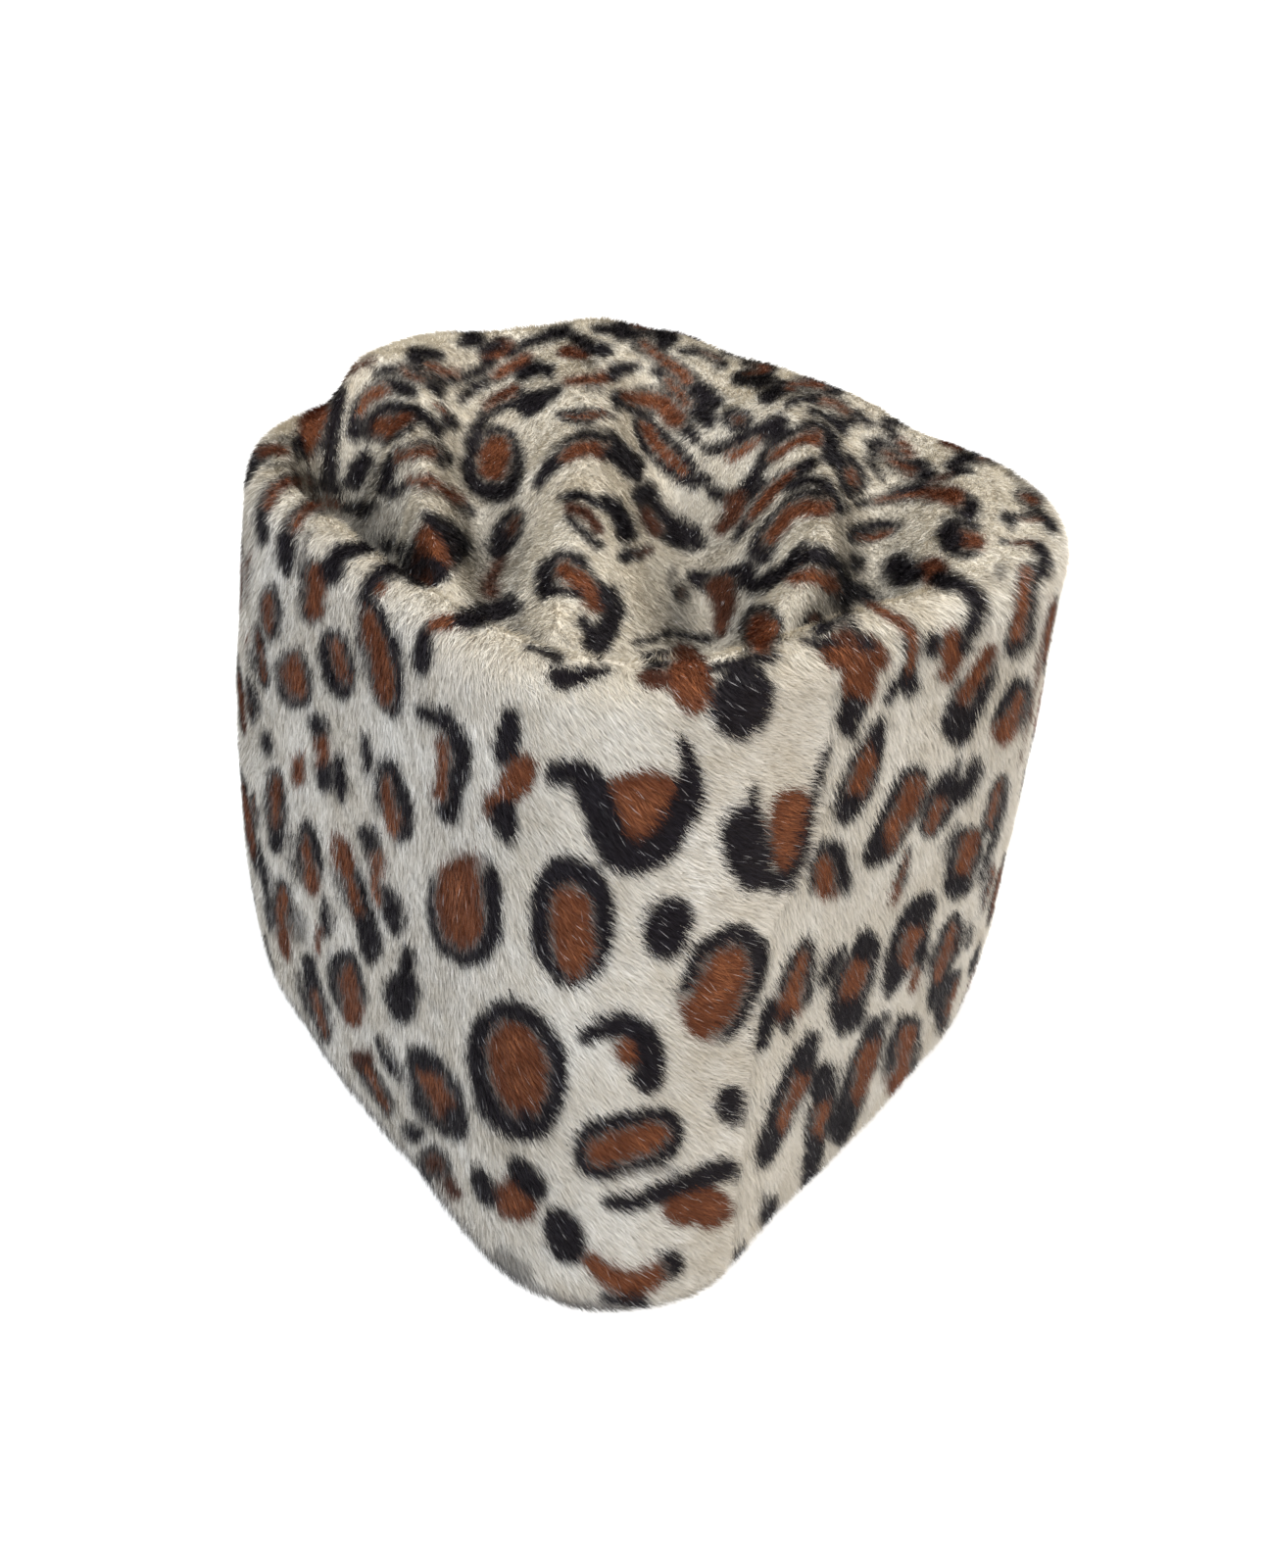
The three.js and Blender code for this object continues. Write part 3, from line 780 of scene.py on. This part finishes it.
def charted(px, py, soft, loss):
    """Black and brown cover and glow of the chart at photo pixels, spots shrunk by loss."""
    black, brown, glow = np.zeros((3, len(px)))
    for s in OVALS:
        reach = max(s.wide, s.tall) + CHART_MARGIN
        where = np.nonzero((abs(px - s.x) < reach) & (abs(py - s.y) < reach))[0]
        dx = px[where] - s.x
        dy = py[where] - s.y
        c = math.cos(math.radians(s.turn))
        n = math.sin(math.radians(s.turn))
        u = dx * c + dy * n
        v = -dx * n + dy * c
        depth = oval_depth(u, v, s.wide, s.tall) - loss[where]
        whole = cover_of(depth + BLACK_SPREAD * (s.rim > 0), soft)
        if s.rim >= min(s.wide, s.tall):
            lay_ink(black, brown, s.core, whole, where)
            continue
        rim = RIM_SCALE * s.rim
        core_wide = max(s.wide - rim, CORE_LEAST * s.wide)
        core_tall = max(s.tall - rim, CORE_LEAST * s.tall)
        core_u = 0.0
        core_v = 0.0
        if s.heavy is not None:
            core_u = -0.5 * rim * math.sin(math.radians(s.heavy))
            core_v = 0.5 * rim * math.cos(math.radians(s.heavy))
        core_depth = oval_depth(u - core_u, v - core_v, core_wide, core_tall) - loss[where]
        core = cover_of(core_depth, soft)
        core_glow = smooth(core_depth / (GLOW_DEPTH * min(core_wide, core_tall)))
        glow[where] = np.maximum(glow[where], core_glow)
        closed = np.ones_like(u)
        if s.opens is not None:
            closed = smooth((bearing_off(u, v, s.opens) - CHART_GAP) / CHART_GAP)
            core = np.maximum(core, cover_of(depth - CORE_SPREAD * rim, soft) * (1 - closed))
        lay_ink(black, brown, s.core, np.minimum(core, whole), where)
        lay_ink(black, brown, K, whole * (1 - core) * closed, where)
    for s, scale in [(s, 1.0) for s in STROKES] + [(s, CROWN_STROKE_SCALE) for s in CROWN_STROKES]:
        start = scale * s.start
        end = scale * s.end
        path = np.array(s.path, float)
        at = np.linspace(0, 1, len(path))
        fine = np.linspace(0, 1, STROKE_STEPS * (len(path) - 1) + 1)
        bend = np.stack([np.interp(fine, at, path[:, 0]), np.interp(fine, at, path[:, 1])], -1)
        for _ in range(STROKE_BLURS):
            bend[1:-1] = 0.25 * bend[:-2] + 0.5 * bend[1:-1] + 0.25 * bend[2:]
        reach = max(start, end) + STROKE_MARGIN
        low = bend.min(0) - reach
        high = bend.max(0) + reach
        where = np.nonzero((px > low[0]) & (px < high[0]) & (py > low[1]) & (py < high[1]))[0]
        depth = stroke_depth(px[where], py[where], bend, fine, start, end)
        cover = cover_of(depth - loss[where] + BLACK_SPREAD * (s.ink == K), soft)
        lay_ink(black, brown, s.ink, cover, where)
        glow[where] = np.maximum(glow[where], smooth(depth / (GLOW_DEPTH * min(start, end))))
    return black, brown, glow


# Spots of the same kind for the sides that the photo doesn't show, in millimetres and degrees
Rosette = namedtuple("Rosette", "middle across along up wide tall rim opens solid")
SPOT_TRIES = 9000
LARGE_SHARE = 0.7
LARGE_GAP = 23.0
SMALL_GAP = 13.5
LARGE_SIZE = np.array([7.6, 11.5])
SMALL_SIZE = np.array([3.2, 5.0])
SPOT_SPREAD = (0.8, 1.2)
SPOT_RIM = (2.5, 3.7)
SPOT_TURN = 0.3
SPOT_OPEN_SHARE = 0.6
SPOT_GAP = 25
SPOT_HEAVY = 150
SPOT_HEAVY_SHARE = 0.4
SPOT_LIFT = 8
SPOT_MARGIN = 3
SOLID_RIM = 20.0
LEAST_RIM = 0.15
CROWN_KEEP = 0.35
SCATTER_FROM = 5


def scatter():
    kept = []
    made = []
    for n, k in enumerate(rng.integers(0, len(flat_skin), SPOT_TRIES)):
        large = n < SPOT_TRIES * LARGE_SHARE
        here = flat_skin[k]
        if rng.uniform() > (CROWN_KEEP if turned.reshape(-1)[k] >= 1 else 1.0):
            continue
        if unseen.reshape(-1)[k] < SCATTER_FROM:
            continue
        near = [np.linalg.norm(here - q) for q, big in kept]
        need = [LARGE_GAP if large and big else SMALL_GAP for q, big in kept]
        if any(a < b for a, b in zip(near, need)):
            continue
        kept.append((here, large))
        turn = rng.normal(0, SPOT_TURN)
        along = nap.reshape(-1, 3)[k]
        up = flat_normals[k]
        across = np.cross(along, up)
        along, across = (along * math.cos(turn) + across * math.sin(turn),
                         across * math.cos(turn) - along * math.sin(turn))
        wide, tall = (LARGE_SIZE if large else SMALL_SIZE) * rng.uniform(*SPOT_SPREAD)
        rim = rng.uniform(*SPOT_RIM)
        opens = rng.uniform(0, 360) if rng.uniform() < SPOT_OPEN_SHARE else None
        made.append(Rosette(here, across, along, up, wide, tall, rim, opens, not large))
    return made


rosettes = scatter()


def scattered(points, soft, loss):
    """Black and brown cover and glow of the scattered spots at points, spots shrunk by loss."""
    black, brown, glow = np.zeros((3, len(points)))
    for s in rosettes:
        where = np.nonzero((np.abs(points - s.middle) < s.tall + SPOT_MARGIN).all(-1))[0]
        if not len(where):
            continue
        d = points[where] - s.middle
        u = d @ s.across
        v = d @ s.along
        lift = np.abs(d @ s.up)
        depth = oval_depth(u, v, s.wide, s.tall) - loss[where] - np.maximum(0, lift - SPOT_LIFT)
        rim = np.full_like(u, SOLID_RIM if s.solid else s.rim)
        if s.opens is not None and not s.solid:
            closed = smooth((bearing_off(u, v, s.opens) - SPOT_GAP) / SPOT_GAP)
            from_heavy = np.degrees(np.arctan2(u, -v)) - s.opens - SPOT_HEAVY
            rim *= closed * (1 + SPOT_HEAVY_SHARE * np.cos(np.radians(from_heavy)))
        lay_ink(black, brown, B, cover_of(depth - CORE_SPREAD * rim, soft), where)
        edge = cover_of(depth, soft) * (1 - cover_of(depth - rim, soft))
        lay_ink(black, brown, K, edge * (rim > LEAST_RIM), where)
        glow[where] = np.maximum(glow[where], smooth((depth - s.rim) / (GLOW_DEPTH * s.wide)))
    return black, brown, glow


# How the edges of spots waver, and how chart and scattered spots give way to each other by the
# distance from the nearest point that the photo shows
WARPS = [(9.0, 0.65), (2.6, 0.25)]
CHART_KEPT = 2.0
CHART_LOSS = 3.2
CHART_SURE = 1.2
CHART_FADE = 14
FAR_START = 0.5
FAR_FULL = 7
FAR_LOSS = 0.8


def print_at(points, hidden, soft_mm):
    """Black and brown cover and glow of the print at points, from the chart and the scattered spots."""
    moved = points + sum(noise_vector(points, scale) * size for scale, size in WARPS)
    px, py = project(moved)
    soft_px = soft_mm * (FOCAL_PX / ((moved - eye) @ forward)).mean()
    near = charted(px, py, soft_px, np.maximum(0, hidden - CHART_KEPT) * CHART_LOSS)
    far = scattered(moved, soft_mm, np.maximum(0, FAR_FULL - hidden) * FAR_LOSS)
    fade = smooth(CHART_SURE - hidden / CHART_FADE)
    return [np.where(hidden > FAR_START, np.maximum(n * fade, f), n) for n, f in zip(near, far)]


# Colours of the pile, linear
CREAM = np.array([0.50, 0.46, 0.395])
WHITE = np.array([0.73, 0.72, 0.695])
BROWN = np.array([0.165, 0.050, 0.022])
RUST = np.array([0.40, 0.150, 0.066])
BLACK = np.array([0.009, 0.007, 0.010])
SLATE = np.array([0.036, 0.033, 0.046])
# Painted glint at the tip of a few fibres
GLINT_COLOUR = np.array([0.85, 0.85, 0.88])
# The ground is lighter in patches, tufts and single fibres, the brown warmer in the middle of a
# spot, and the black greyer in single fibres.
PATCH_SCALE = 12.0
TUFT_SCALE = 3.0
LIGHT_LEAST = 0.15
LIGHT_SHARE = 0.35
BROWN_DEEP = 0.65
WARM_LEAST = 0.02
WARM_GLOW = 1.05
WARM_EVEN = 0.3
FADED_GAIN = 1.6
FADED_LESS = 0.9


def pile_colour(points, printed, loose):
    """Colour at each point; printed is its cover and glow, loose a 0 to 1 value of each fibre."""
    black, brown, glow = printed
    patch = np.clip(0.5 + 0.5 * noise(points, PATCH_SCALE, 1), 0, 1)
    tuft = np.clip(0.5 + 0.5 * noise(points, TUFT_SCALE, 2), 0, 1)
    light = LIGHT_LEAST + LIGHT_SHARE * patch + LIGHT_SHARE * tuft + LIGHT_SHARE * (loose - 0.5)
    light = np.clip(light, 0, 1)
    warm = np.clip(WARM_LEAST + WARM_GLOW * glow * loose**2 * (WARM_EVEN + (1 - WARM_EVEN) * tuft), 0, 1)
    faded = np.clip(loose * FADED_GAIN - FADED_LESS, 0, 1) * tuft
    ground = mix(CREAM, WHITE, light[:, None])
    chestnut = mix(BROWN * BROWN_DEEP, RUST, warm[:, None])
    coal = mix(BLACK, SLATE, faded[:, None])
    return mix(mix(ground, chestnut, brown[:, None]), coal, black[:, None])


# Materials
def plush_material(name, roughness):
    m = bpy.data.materials.new(name)
    m.use_nodes = True
    nodes = m.node_tree.nodes
    links = m.node_tree.links
    shader = nodes["Principled BSDF"]
    # The colour attribute holds the print together with painted shade and, on fibres, painted glints
    dye_shade_and_glint = nodes.new("ShaderNodeAttribute")
    dye_shade_and_glint.attribute_name = "dye_shade_and_glint"
    grain = nodes.new("ShaderNodeTexNoise")
    grain.inputs["Scale"].default_value = 900.0
    grain.inputs["Detail"].default_value = 2.0
    place = nodes.new("ShaderNodeTexCoord")
    links.new(place.outputs["Object"], grain.inputs["Vector"])
    level = nodes.new("ShaderNodeMapRange")
    level.inputs["To Min"].default_value = 0.82
    level.inputs["To Max"].default_value = 1.12
    links.new(grain.outputs["Fac"], level.inputs["Value"])
    scale = nodes.new("ShaderNodeVectorMath")
    scale.operation = "SCALE"
    links.new(dye_shade_and_glint.outputs["Color"], scale.inputs[0])
    links.new(level.outputs["Result"], scale.inputs["Scale"])
    links.new(scale.outputs["Vector"], shader.inputs["Base Color"])
    shader.inputs["Roughness"].default_value = roughness
    shader.inputs["Specular IOR Level"].default_value = 0.10
    shader.inputs["Sheen Weight"].default_value = 0.02
    shader.inputs["Sheen Roughness"].default_value = 0.4
    return m


def cloth_material(name, dark, light):
    m = bpy.data.materials.new(name)
    m.use_nodes = True
    nodes = m.node_tree.nodes
    links = m.node_tree.links
    shader = nodes["Principled BSDF"]
    place = nodes.new("ShaderNodeTexCoord")
    weave = nodes.new("ShaderNodeTexWave")
    weave.wave_type = "BANDS"
    weave.bands_direction = "Z"
    weave.inputs["Scale"].default_value = 260.0
    weave.inputs["Distortion"].default_value = 1.5
    weave.inputs["Detail"].default_value = 2.0
    links.new(place.outputs["Object"], weave.inputs["Vector"])
    ramp = nodes.new("ShaderNodeValToRGB")
    ramp.color_ramp.elements[0].color = (*dark, 1)
    ramp.color_ramp.elements[1].color = (*light, 1)
    links.new(weave.outputs["Fac"], ramp.inputs["Fac"])
    links.new(ramp.outputs["Color"], shader.inputs["Base Color"])
    bump = nodes.new("ShaderNodeBump")
    bump.inputs["Strength"].default_value = 0.4
    bump.inputs["Distance"].default_value = 0.0004
    links.new(weave.outputs["Fac"], bump.inputs["Height"])
    links.new(bump.outputs["Normal"], shader.inputs["Normal"])
    shader.inputs["Roughness"].default_value = 0.9
    return m


plush = plush_material("plush", 0.7)
fibre = plush_material("plush_fibre", 0.42)
backing_cloth = cloth_material("knit_backing", (0.10, 0.10, 0.11), (0.22, 0.21, 0.22))
hem_cloth = cloth_material("woven_hem", (0.030, 0.031, 0.036), (0.075, 0.077, 0.086))


def mesh_object(name, points, faces, materials, dye_shade_and_glint=None, uv=None, material_index=None):
    """Object from points in millimetres and faces of one size."""
    mesh = bpy.data.meshes.new(name)
    count, size = faces.shape
    mesh.vertices.add(len(points))
    mesh.vertices.foreach_set("co", (points * MM).astype(np.float32).ravel())
    mesh.loops.add(count * size)
    mesh.loops.foreach_set("vertex_index", faces.astype(np.int32).ravel())
    mesh.polygons.add(count)
    mesh.polygons.foreach_set("loop_start", (np.arange(count) * size).astype(np.int32))
    mesh.polygons.foreach_set("use_smooth", np.ones(count, bool))
    for m in materials:
        mesh.materials.append(m)
    if material_index is not None:
        mesh.polygons.foreach_set("material_index", material_index.astype(np.int32))
    mesh.update(calc_edges=True)
    if uv is not None:
        layer = mesh.uv_layers.new(name="OFBake")
        layer.data.foreach_set("uv", uv.astype(np.float32).ravel())
    if dye_shade_and_glint is not None:
        layer = mesh.color_attributes.new("dye_shade_and_glint", "FLOAT_COLOR", "POINT")
        rgba = np.concatenate([dye_shade_and_glint, np.ones((len(dye_shade_and_glint), 1))], 1)
        layer.data.foreach_set("color", rgba.astype(np.float32).ravel())
    mesh.validate()
    o = bpy.data.objects.new(name, mesh)
    bpy.context.scene.collection.objects.link(o)
    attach(o, "root")
    return o


# Cloth under the pile: the gaps it keeps, its softness and the tone of its print, and how far painted shade
# under the fibres darkens it and the crown's middle
FLOOR_GAP = 0.2
BACKING_GAP = 0.1
CLOTH_SOFT = 1.0
CLOTH_LOOSE = 0.35
CLOTH_PAINTED_SHADE = 0.9
MIDDLE_PAINTED_SHADE = 0.8


def cloth_dye(points, hidden):
    return pile_colour(points, print_at(points, hidden, CLOTH_SOFT), np.full(len(points), CLOTH_LOOSE))


def there_and_back(values):
    return np.concatenate([values, values[::-1]])


def shell(name, low, high, node):
    """Closed shell of the rows from low to high: plush outside, knit backing inside."""
    outer = skin[low:high] - skin_normals[low:high] * PILE
    inner = skin[low:high] - skin_normals[low:high] * (CLOTH + BACKING_GAP)
    if low == 0:
        outer[0, :, 2] = FLOOR_GAP
        inner[0, :, 2] = FLOOR_GAP
    ring = np.concatenate([outer, inner[::-1]])
    faces = loop_faces(len(ring), COLUMNS, True)
    index = np.zeros(len(faces), int)
    index[(high - low - 1) * COLUMNS:] = 1
    points = ring.reshape(-1, 3)
    # The print is darkened by painted shade under the fibres and in the crown's folds
    dye_shade_and_glint = cloth_dye(points, there_and_back(unseen[low:high]).reshape(-1)) * CLOTH_PAINTED_SHADE
    dye_shade_and_glint = dye_shade_and_glint * there_and_back(fold_shade_and_crown_tint[low:high]).reshape(-1, 3)
    o = mesh_object(name, points, faces, (plush, backing_cloth), dye_shade_and_glint, material_index=index)
    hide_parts(node)


band_end = CROWN_START + LAP_ROWS
shell("band_plush", 0, band_end + 1, "band")
shell("crown_plush", band_end, len(skin), "crown")

# Small disc that closes the middle of the crown
ring = skin[-1] - skin_normals[-1] * PILE
disc_points = np.concatenate([ring, ring.mean(0, keepdims=True)])
disc_faces = np.array([(j, (j + 1) % COLUMNS, COLUMNS) for j in range(COLUMNS)])
# Its print is darkened by painted shade, as under the pile
disc_dye_and_shade = cloth_dye(disc_points, np.zeros(len(disc_points))) * MIDDLE_PAINTED_SHADE
mesh_object("crown_middle", disc_points, disc_faces, (plush,), disc_dye_and_shade)

# Turned hem inside the wall
HEM_ROWS = 8
HEM_FLOOR_GAP = 0.1
wall_tall = rim_top(wall_point(steps, 0.0)[:, 1]) - RIM_RADIUS
hem_grid = np.array([wall_point(steps, HEM_HEIGHT * i / HEM_ROWS / wall_tall) for i in range(HEM_ROWS + 1)])
hem_normals = grid_normals(hem_grid)
hem_out = hem_grid - hem_normals * (CLOTH + HEM_GAP)
hem_in = hem_grid - hem_normals * (CLOTH + HEM_GAP + HEM_CLOTH)
hem_out[0, :, 2] = HEM_FLOOR_GAP
hem_in[0, :, 2] = HEM_FLOOR_GAP
hem_ring = np.concatenate([hem_out, hem_in[::-1]])
hem_faces = loop_faces(len(hem_ring), COLUMNS, True)
hem = mesh_object("hem_fold", hem_ring.reshape(-1, 3), hem_faces, (hem_cloth,))
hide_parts("hem")

# Pile: each fibre is a thin leaf that rises from the backing and lies along the nap.
# Lengths are in millimetres and angles in degrees; a pair holds a size and the scale of its noise.
FIBRES = 790000
FIBRE_LENGTH = 2.6
LENGTH_SPREAD = (0.7, 1.15)
FIBRE_WIDTH = 0.15
WIDTH_SPREAD = (0.7, 1.2)
FIBRE_ROOT = PILE - 0.1
FIBRE_LOWEST = 0.25
CROWN_LENGTH = 0.7
CROWN_SHARE = 1.25
SEEN_SHARE = 2.0
SWIRL_WIDE = (9, 13.0)
SWIRL_FINE = (4, 4.0)
SWIRL_LOOSE = 14
RISE = 25
RISE_WAVE = (4, 5.0)
RISE_LOOSE = 6
TIP_STRAY = (0.2, 1.6)
ROLL_LOOSE = 0.5
SAMPLE_ALONG = 0.65
SAMPLE_LOOSE = 0.42
SAMPLE_SOFT = 0.55


def corners(values):
    nxt = np.roll(values, -1, 1)
    return values[:-1], nxt[:-1], nxt[1:], values[1:]


def between(values):
    """Values of a grid at each fibre's place in its cell."""
    c = [v.reshape(-1, *v.shape[2:])[cell] for v in corners(values)]
    s, t = (a[:, None], b[:, None]) if c[0].ndim == 2 else (a, b)
    return mix(mix(c[0], c[1], s), mix(c[3], c[2], s), t)


def turn_from(one, other, angle):
    return one * np.cos(angle)[:, None] + other * np.sin(angle)[:, None]


p0, p1, p2, p3 = corners(skin)
first_half = np.linalg.norm(np.cross(p1 - p0, p3 - p0), axis=-1)
second_half = np.linalg.norm(np.cross(p1 - p2, p3 - p2), axis=-1)
seen_part = np.mean(corners(clear.reshape(skin.shape[:2])), 0)
weight = 0.5 * (first_half + second_half) * mix(1.0, SEEN_SHARE, seen_part)
weight[CROWN_START:] *= CROWN_SHARE
weight = weight.reshape(-1)
cell = rng.choice(len(weight), FIBRES, p=weight / weight.sum())
cell.sort()
a = rng.uniform(0, 1, FIBRES)
b = rng.uniform(0, 1, FIBRES)
row_of = cell // COLUMNS
column_of = cell % COLUMNS
step_of = column_of * (AROUND / COLUMNS)
on_crown = row_of >= CROWN_START

up = unit(between(skin_normals))
place = between(skin)
height = place[:, 2]
root = place - up * FIBRE_ROOT
swirl = SWIRL_WIDE[0] * noise(root, SWIRL_WIDE[1], 0) + SWIRL_FINE[0] * noise(root, SWIRL_FINE[1], 1)
swirl = np.radians(swirl + rng.normal(0, SWIRL_LOOSE, FIBRES))
flow = between(nap)
flow = turn_from(flow, np.cross(flow, up), swirl)
flow = unit(flow - up * (flow * up).sum(-1, keepdims=True))

length = FIBRE_LENGTH * rng.uniform(*LENGTH_SPREAD, FIBRES)
length[on_crown] *= CROWN_LENGTH
lift = np.radians(RISE + RISE_WAVE[0] * noise(root, RISE_WAVE[1], 2) + rng.normal(0, RISE_LOOSE, FIBRES))
tip = root + length[:, None] * turn_from(flow, up, lift)
tip = tip + noise_vector(tip, TIP_STRAY[1]) * TIP_STRAY[0]
roll = rng.normal(0, ROLL_LOOSE, FIBRES)
width = FIBRE_WIDTH * rng.uniform(*WIDTH_SPREAD, FIBRES)
wide = turn_from(np.cross(flow, up), up, roll) * (width / 2)[:, None]
for points in (root, tip):
    points[:, 2] = np.maximum(points[:, 2], FIBRE_LOWEST)

# Colour of each fibre, with painted shade: dark and greyer on the hem's underside at the lower left, darker
# along the foot of the wall and in the crown's folds
UNDER_SHADE_FROM = 56
UNDER_SHADE_FADE = 8
UNDER_SHADE_TOP = 5.5
UNDER_SHADE_SPAN = 3.0
UNDER_SHADE_SHARE = 0.85
UNDER_SHADE_KEEP = 0.25
UNDER_SHADE_SLATE = 0.6
FOOT_SHADE = 0.6
FOOT_FROM = 0.3
FOOT_SPAN = 2.5
sample = mix(root, tip, SAMPLE_ALONG) + rng.normal(0, SAMPLE_LOOSE, (FIBRES, 3))
loose = rng.uniform(0, 1, FIBRES)
dye_shade_and_glint = pile_colour(sample, print_at(sample, between(unseen), SAMPLE_SOFT), loose)
# Painted shade of the hem's underside at the lower left: fibres low on the wall there are darkened and
# greyed
underside_shade = smooth((step_of - UNDER_SHADE_FROM) / UNDER_SHADE_FADE) * smooth((UNDER_SHADE_TOP - height) / UNDER_SHADE_SPAN)
dye_shade_and_glint = mix(dye_shade_and_glint, UNDER_SHADE_KEEP * dye_shade_and_glint + UNDER_SHADE_SLATE * SLATE, UNDER_SHADE_SHARE * underside_shade[:, None])
# Painted shade along the foot of the wall, where it meets the floor
dye_shade_and_glint = dye_shade_and_glint * mix(FOOT_SHADE, 1.0, smooth((height - FOOT_FROM) / FOOT_SPAN))[:, None]
dye_shade_and_glint = dye_shade_and_glint * between(fold_shade_and_crown_tint)

# Each fibre is darker at its two root points than at its tip, as painted shade among the fibres, and has a
# tiny patch of the UV map
LEAF_SHADES = np.array([0.88, 1.05, 0.88])
LIGHTEST = 0.95
GLINT = 0.7
GLINT_FROM = 0.985
PATCH_UV = 0.0007
MARGIN_UV = 0.005


def spread(values):
    """Values stretched to fill the UV square within its margin."""
    return (values - values.min()) / (values.max() - values.min()) * (1 - 2 * MARGIN_UV) + MARGIN_UV


def fur(name, chosen, shift=0.0):
    points = np.stack([root[chosen] - wide[chosen], tip[chosen], root[chosen] + wide[chosen]], 1)
    colours = np.clip(dye_shade_and_glint[chosen][:, None, :] * LEAF_SHADES[None, :, None], 0, LIGHTEST)
    # Painted glint: the tip of a few fibres is coloured near white
    glint = GLINT * (loose[chosen] > GLINT_FROM)
    colours[:, 1] = mix(colours[:, 1], GLINT_COLOUR, glint[:, None])
    u = spread(((column_of + a)[chosen] / COLUMNS + shift) % 1.0)
    v = spread((row_of + b)[chosen] / len(skin))
    corner_u = np.stack([u - PATCH_UV, u, u + PATCH_UV], 1)
    corner_v = np.stack([v - PATCH_UV, v + PATCH_UV, v - PATCH_UV], 1)
    uv = np.stack([corner_u, corner_v], -1)
    faces = np.arange(len(chosen) * 3).reshape(-1, 3)
    mesh_object(name, points.reshape(-1, 3), faces, (fibre,), colours.reshape(-1, 3), uv)


crown_all = np.nonzero(on_crown)[0]
crown_y = root[crown_all][:, 1]
cut = np.median(crown_y)
fur("fur_crown_fore", crown_all[crown_y < cut])
fur("fur_crown_rear", crown_all[crown_y >= cut])

# The band's pile in sectors between two steps around. The front one runs over step 0, and its
# UV map is shifted so that it isn't cut there.
Sector = namedtuple("Sector", "name first last shift")
SECTORS = [
    Sector("front", 76, 8, 0.5),
    Sector("right", 8, 26, 0.0),
    Sector("back_right", 26, 42, 0.0),
    Sector("back_left", 42, 58, 0.0),
    Sector("left", 58, 76, 0.0),
]
for s in SECTORS:
    inside = (step_of - s.first) % AROUND < (s.last - s.first) % AROUND
    fur("fur_band_" + s.name, np.nonzero(~on_crown & inside)[0], s.shift)


# Floor, light and camera, in metres
FLOOR_HALF = 40
floor_mesh = bpy.data.meshes.new("floor")
floor_corners = [(x * FLOOR_HALF, y * FLOOR_HALF, 0) for x, y in ((-1, -1), (1, -1), (1, 1), (-1, 1))]
floor_mesh.from_pydata(floor_corners, [], [(0, 1, 2, 3)])
floor = bpy.data.objects.new("floor", floor_mesh)
bpy.context.scene.collection.objects.link(floor)
pale = bpy.data.materials.new("pale_floor")
pale.use_nodes = True
pale_inputs = pale.node_tree.nodes["Principled BSDF"].inputs
pale_inputs["Base Color"].default_value = (0.40, 0.40, 0.40, 1)
pale_inputs["Roughness"].default_value = 0.9
pale_inputs["Emission Color"].default_value = (1, 1, 1, 1)
pale_inputs["Emission Strength"].default_value = 0.75
floor_mesh.materials.append(pale)

Light = namedtuple("Light", "name place aim size power colour")
LIGHTS = [
    Light("key", (-0.7, -0.6, 1.1), (0, 0, 0.06), 0.5, 13.0, (0.90, 0.95, 1.0)),
    Light("fill", (0.9, -0.7, 0.8), (0, 0, 0.06), 0.9, 6.4, (1.0, 0.78, 0.45)),
    Light("back", (0.1, 1.0, 0.9), (0, 0, 0.06), 0.8, 4.0, (1.0, 1.0, 1.0)),
    Light("top", (0.05, -0.1, 1.1), (0, 0, 0.1), 0.5, 12.0, (1.0, 0.97, 0.92)),
]
for light in LIGHTS:
    lamp = bpy.data.lights.new(light.name, "AREA")
    lamp.shape = "SQUARE"
    lamp.size = light.size
    lamp.energy = light.power
    lamp.color = light.colour
    lamp_object = bpy.data.objects.new(light.name, lamp)
    lamp_object.location = light.place
    way = Vector(light.aim) - Vector(light.place)
    lamp_object.rotation_euler = way.to_track_quat("-Z", "Y").to_euler()
    bpy.context.scene.collection.objects.link(lamp_object)

world = bpy.data.worlds.new("studio")
bpy.context.scene.world = world
world.use_nodes = True
world.node_tree.nodes["Background"].inputs["Color"].default_value = (0.97, 0.98, 1.0, 1)
world.node_tree.nodes["Background"].inputs["Strength"].default_value = 0.65
bpy.context.scene.view_settings.view_transform = "Standard"

SENSOR = 36.0
camera_data = bpy.data.cameras.new("camera")
camera_data.sensor_width = SENSOR
camera_data.lens = SENSOR * FOCAL_PX / PHOTO_TALL
camera_data.shift_x = (PHOTO_WIDE / 2 - MIDDLE_X) / PHOTO_TALL
camera_data.shift_y = (MIDDLE_Y - PHOTO_TALL / 2) / PHOTO_TALL
camera_data.clip_start = 0.01
camera = bpy.data.objects.new("camera", camera_data)
bpy.context.scene.collection.objects.link(camera)
axes = np.array([cam_right, cam_up, -forward]).T
pose = Matrix([list(axes[r]) + [float(eye[r] * MM)] for r in range(3)] + [[0, 0, 0, 1]])
camera.matrix_world = pose
bpy.context.scene.camera = camera
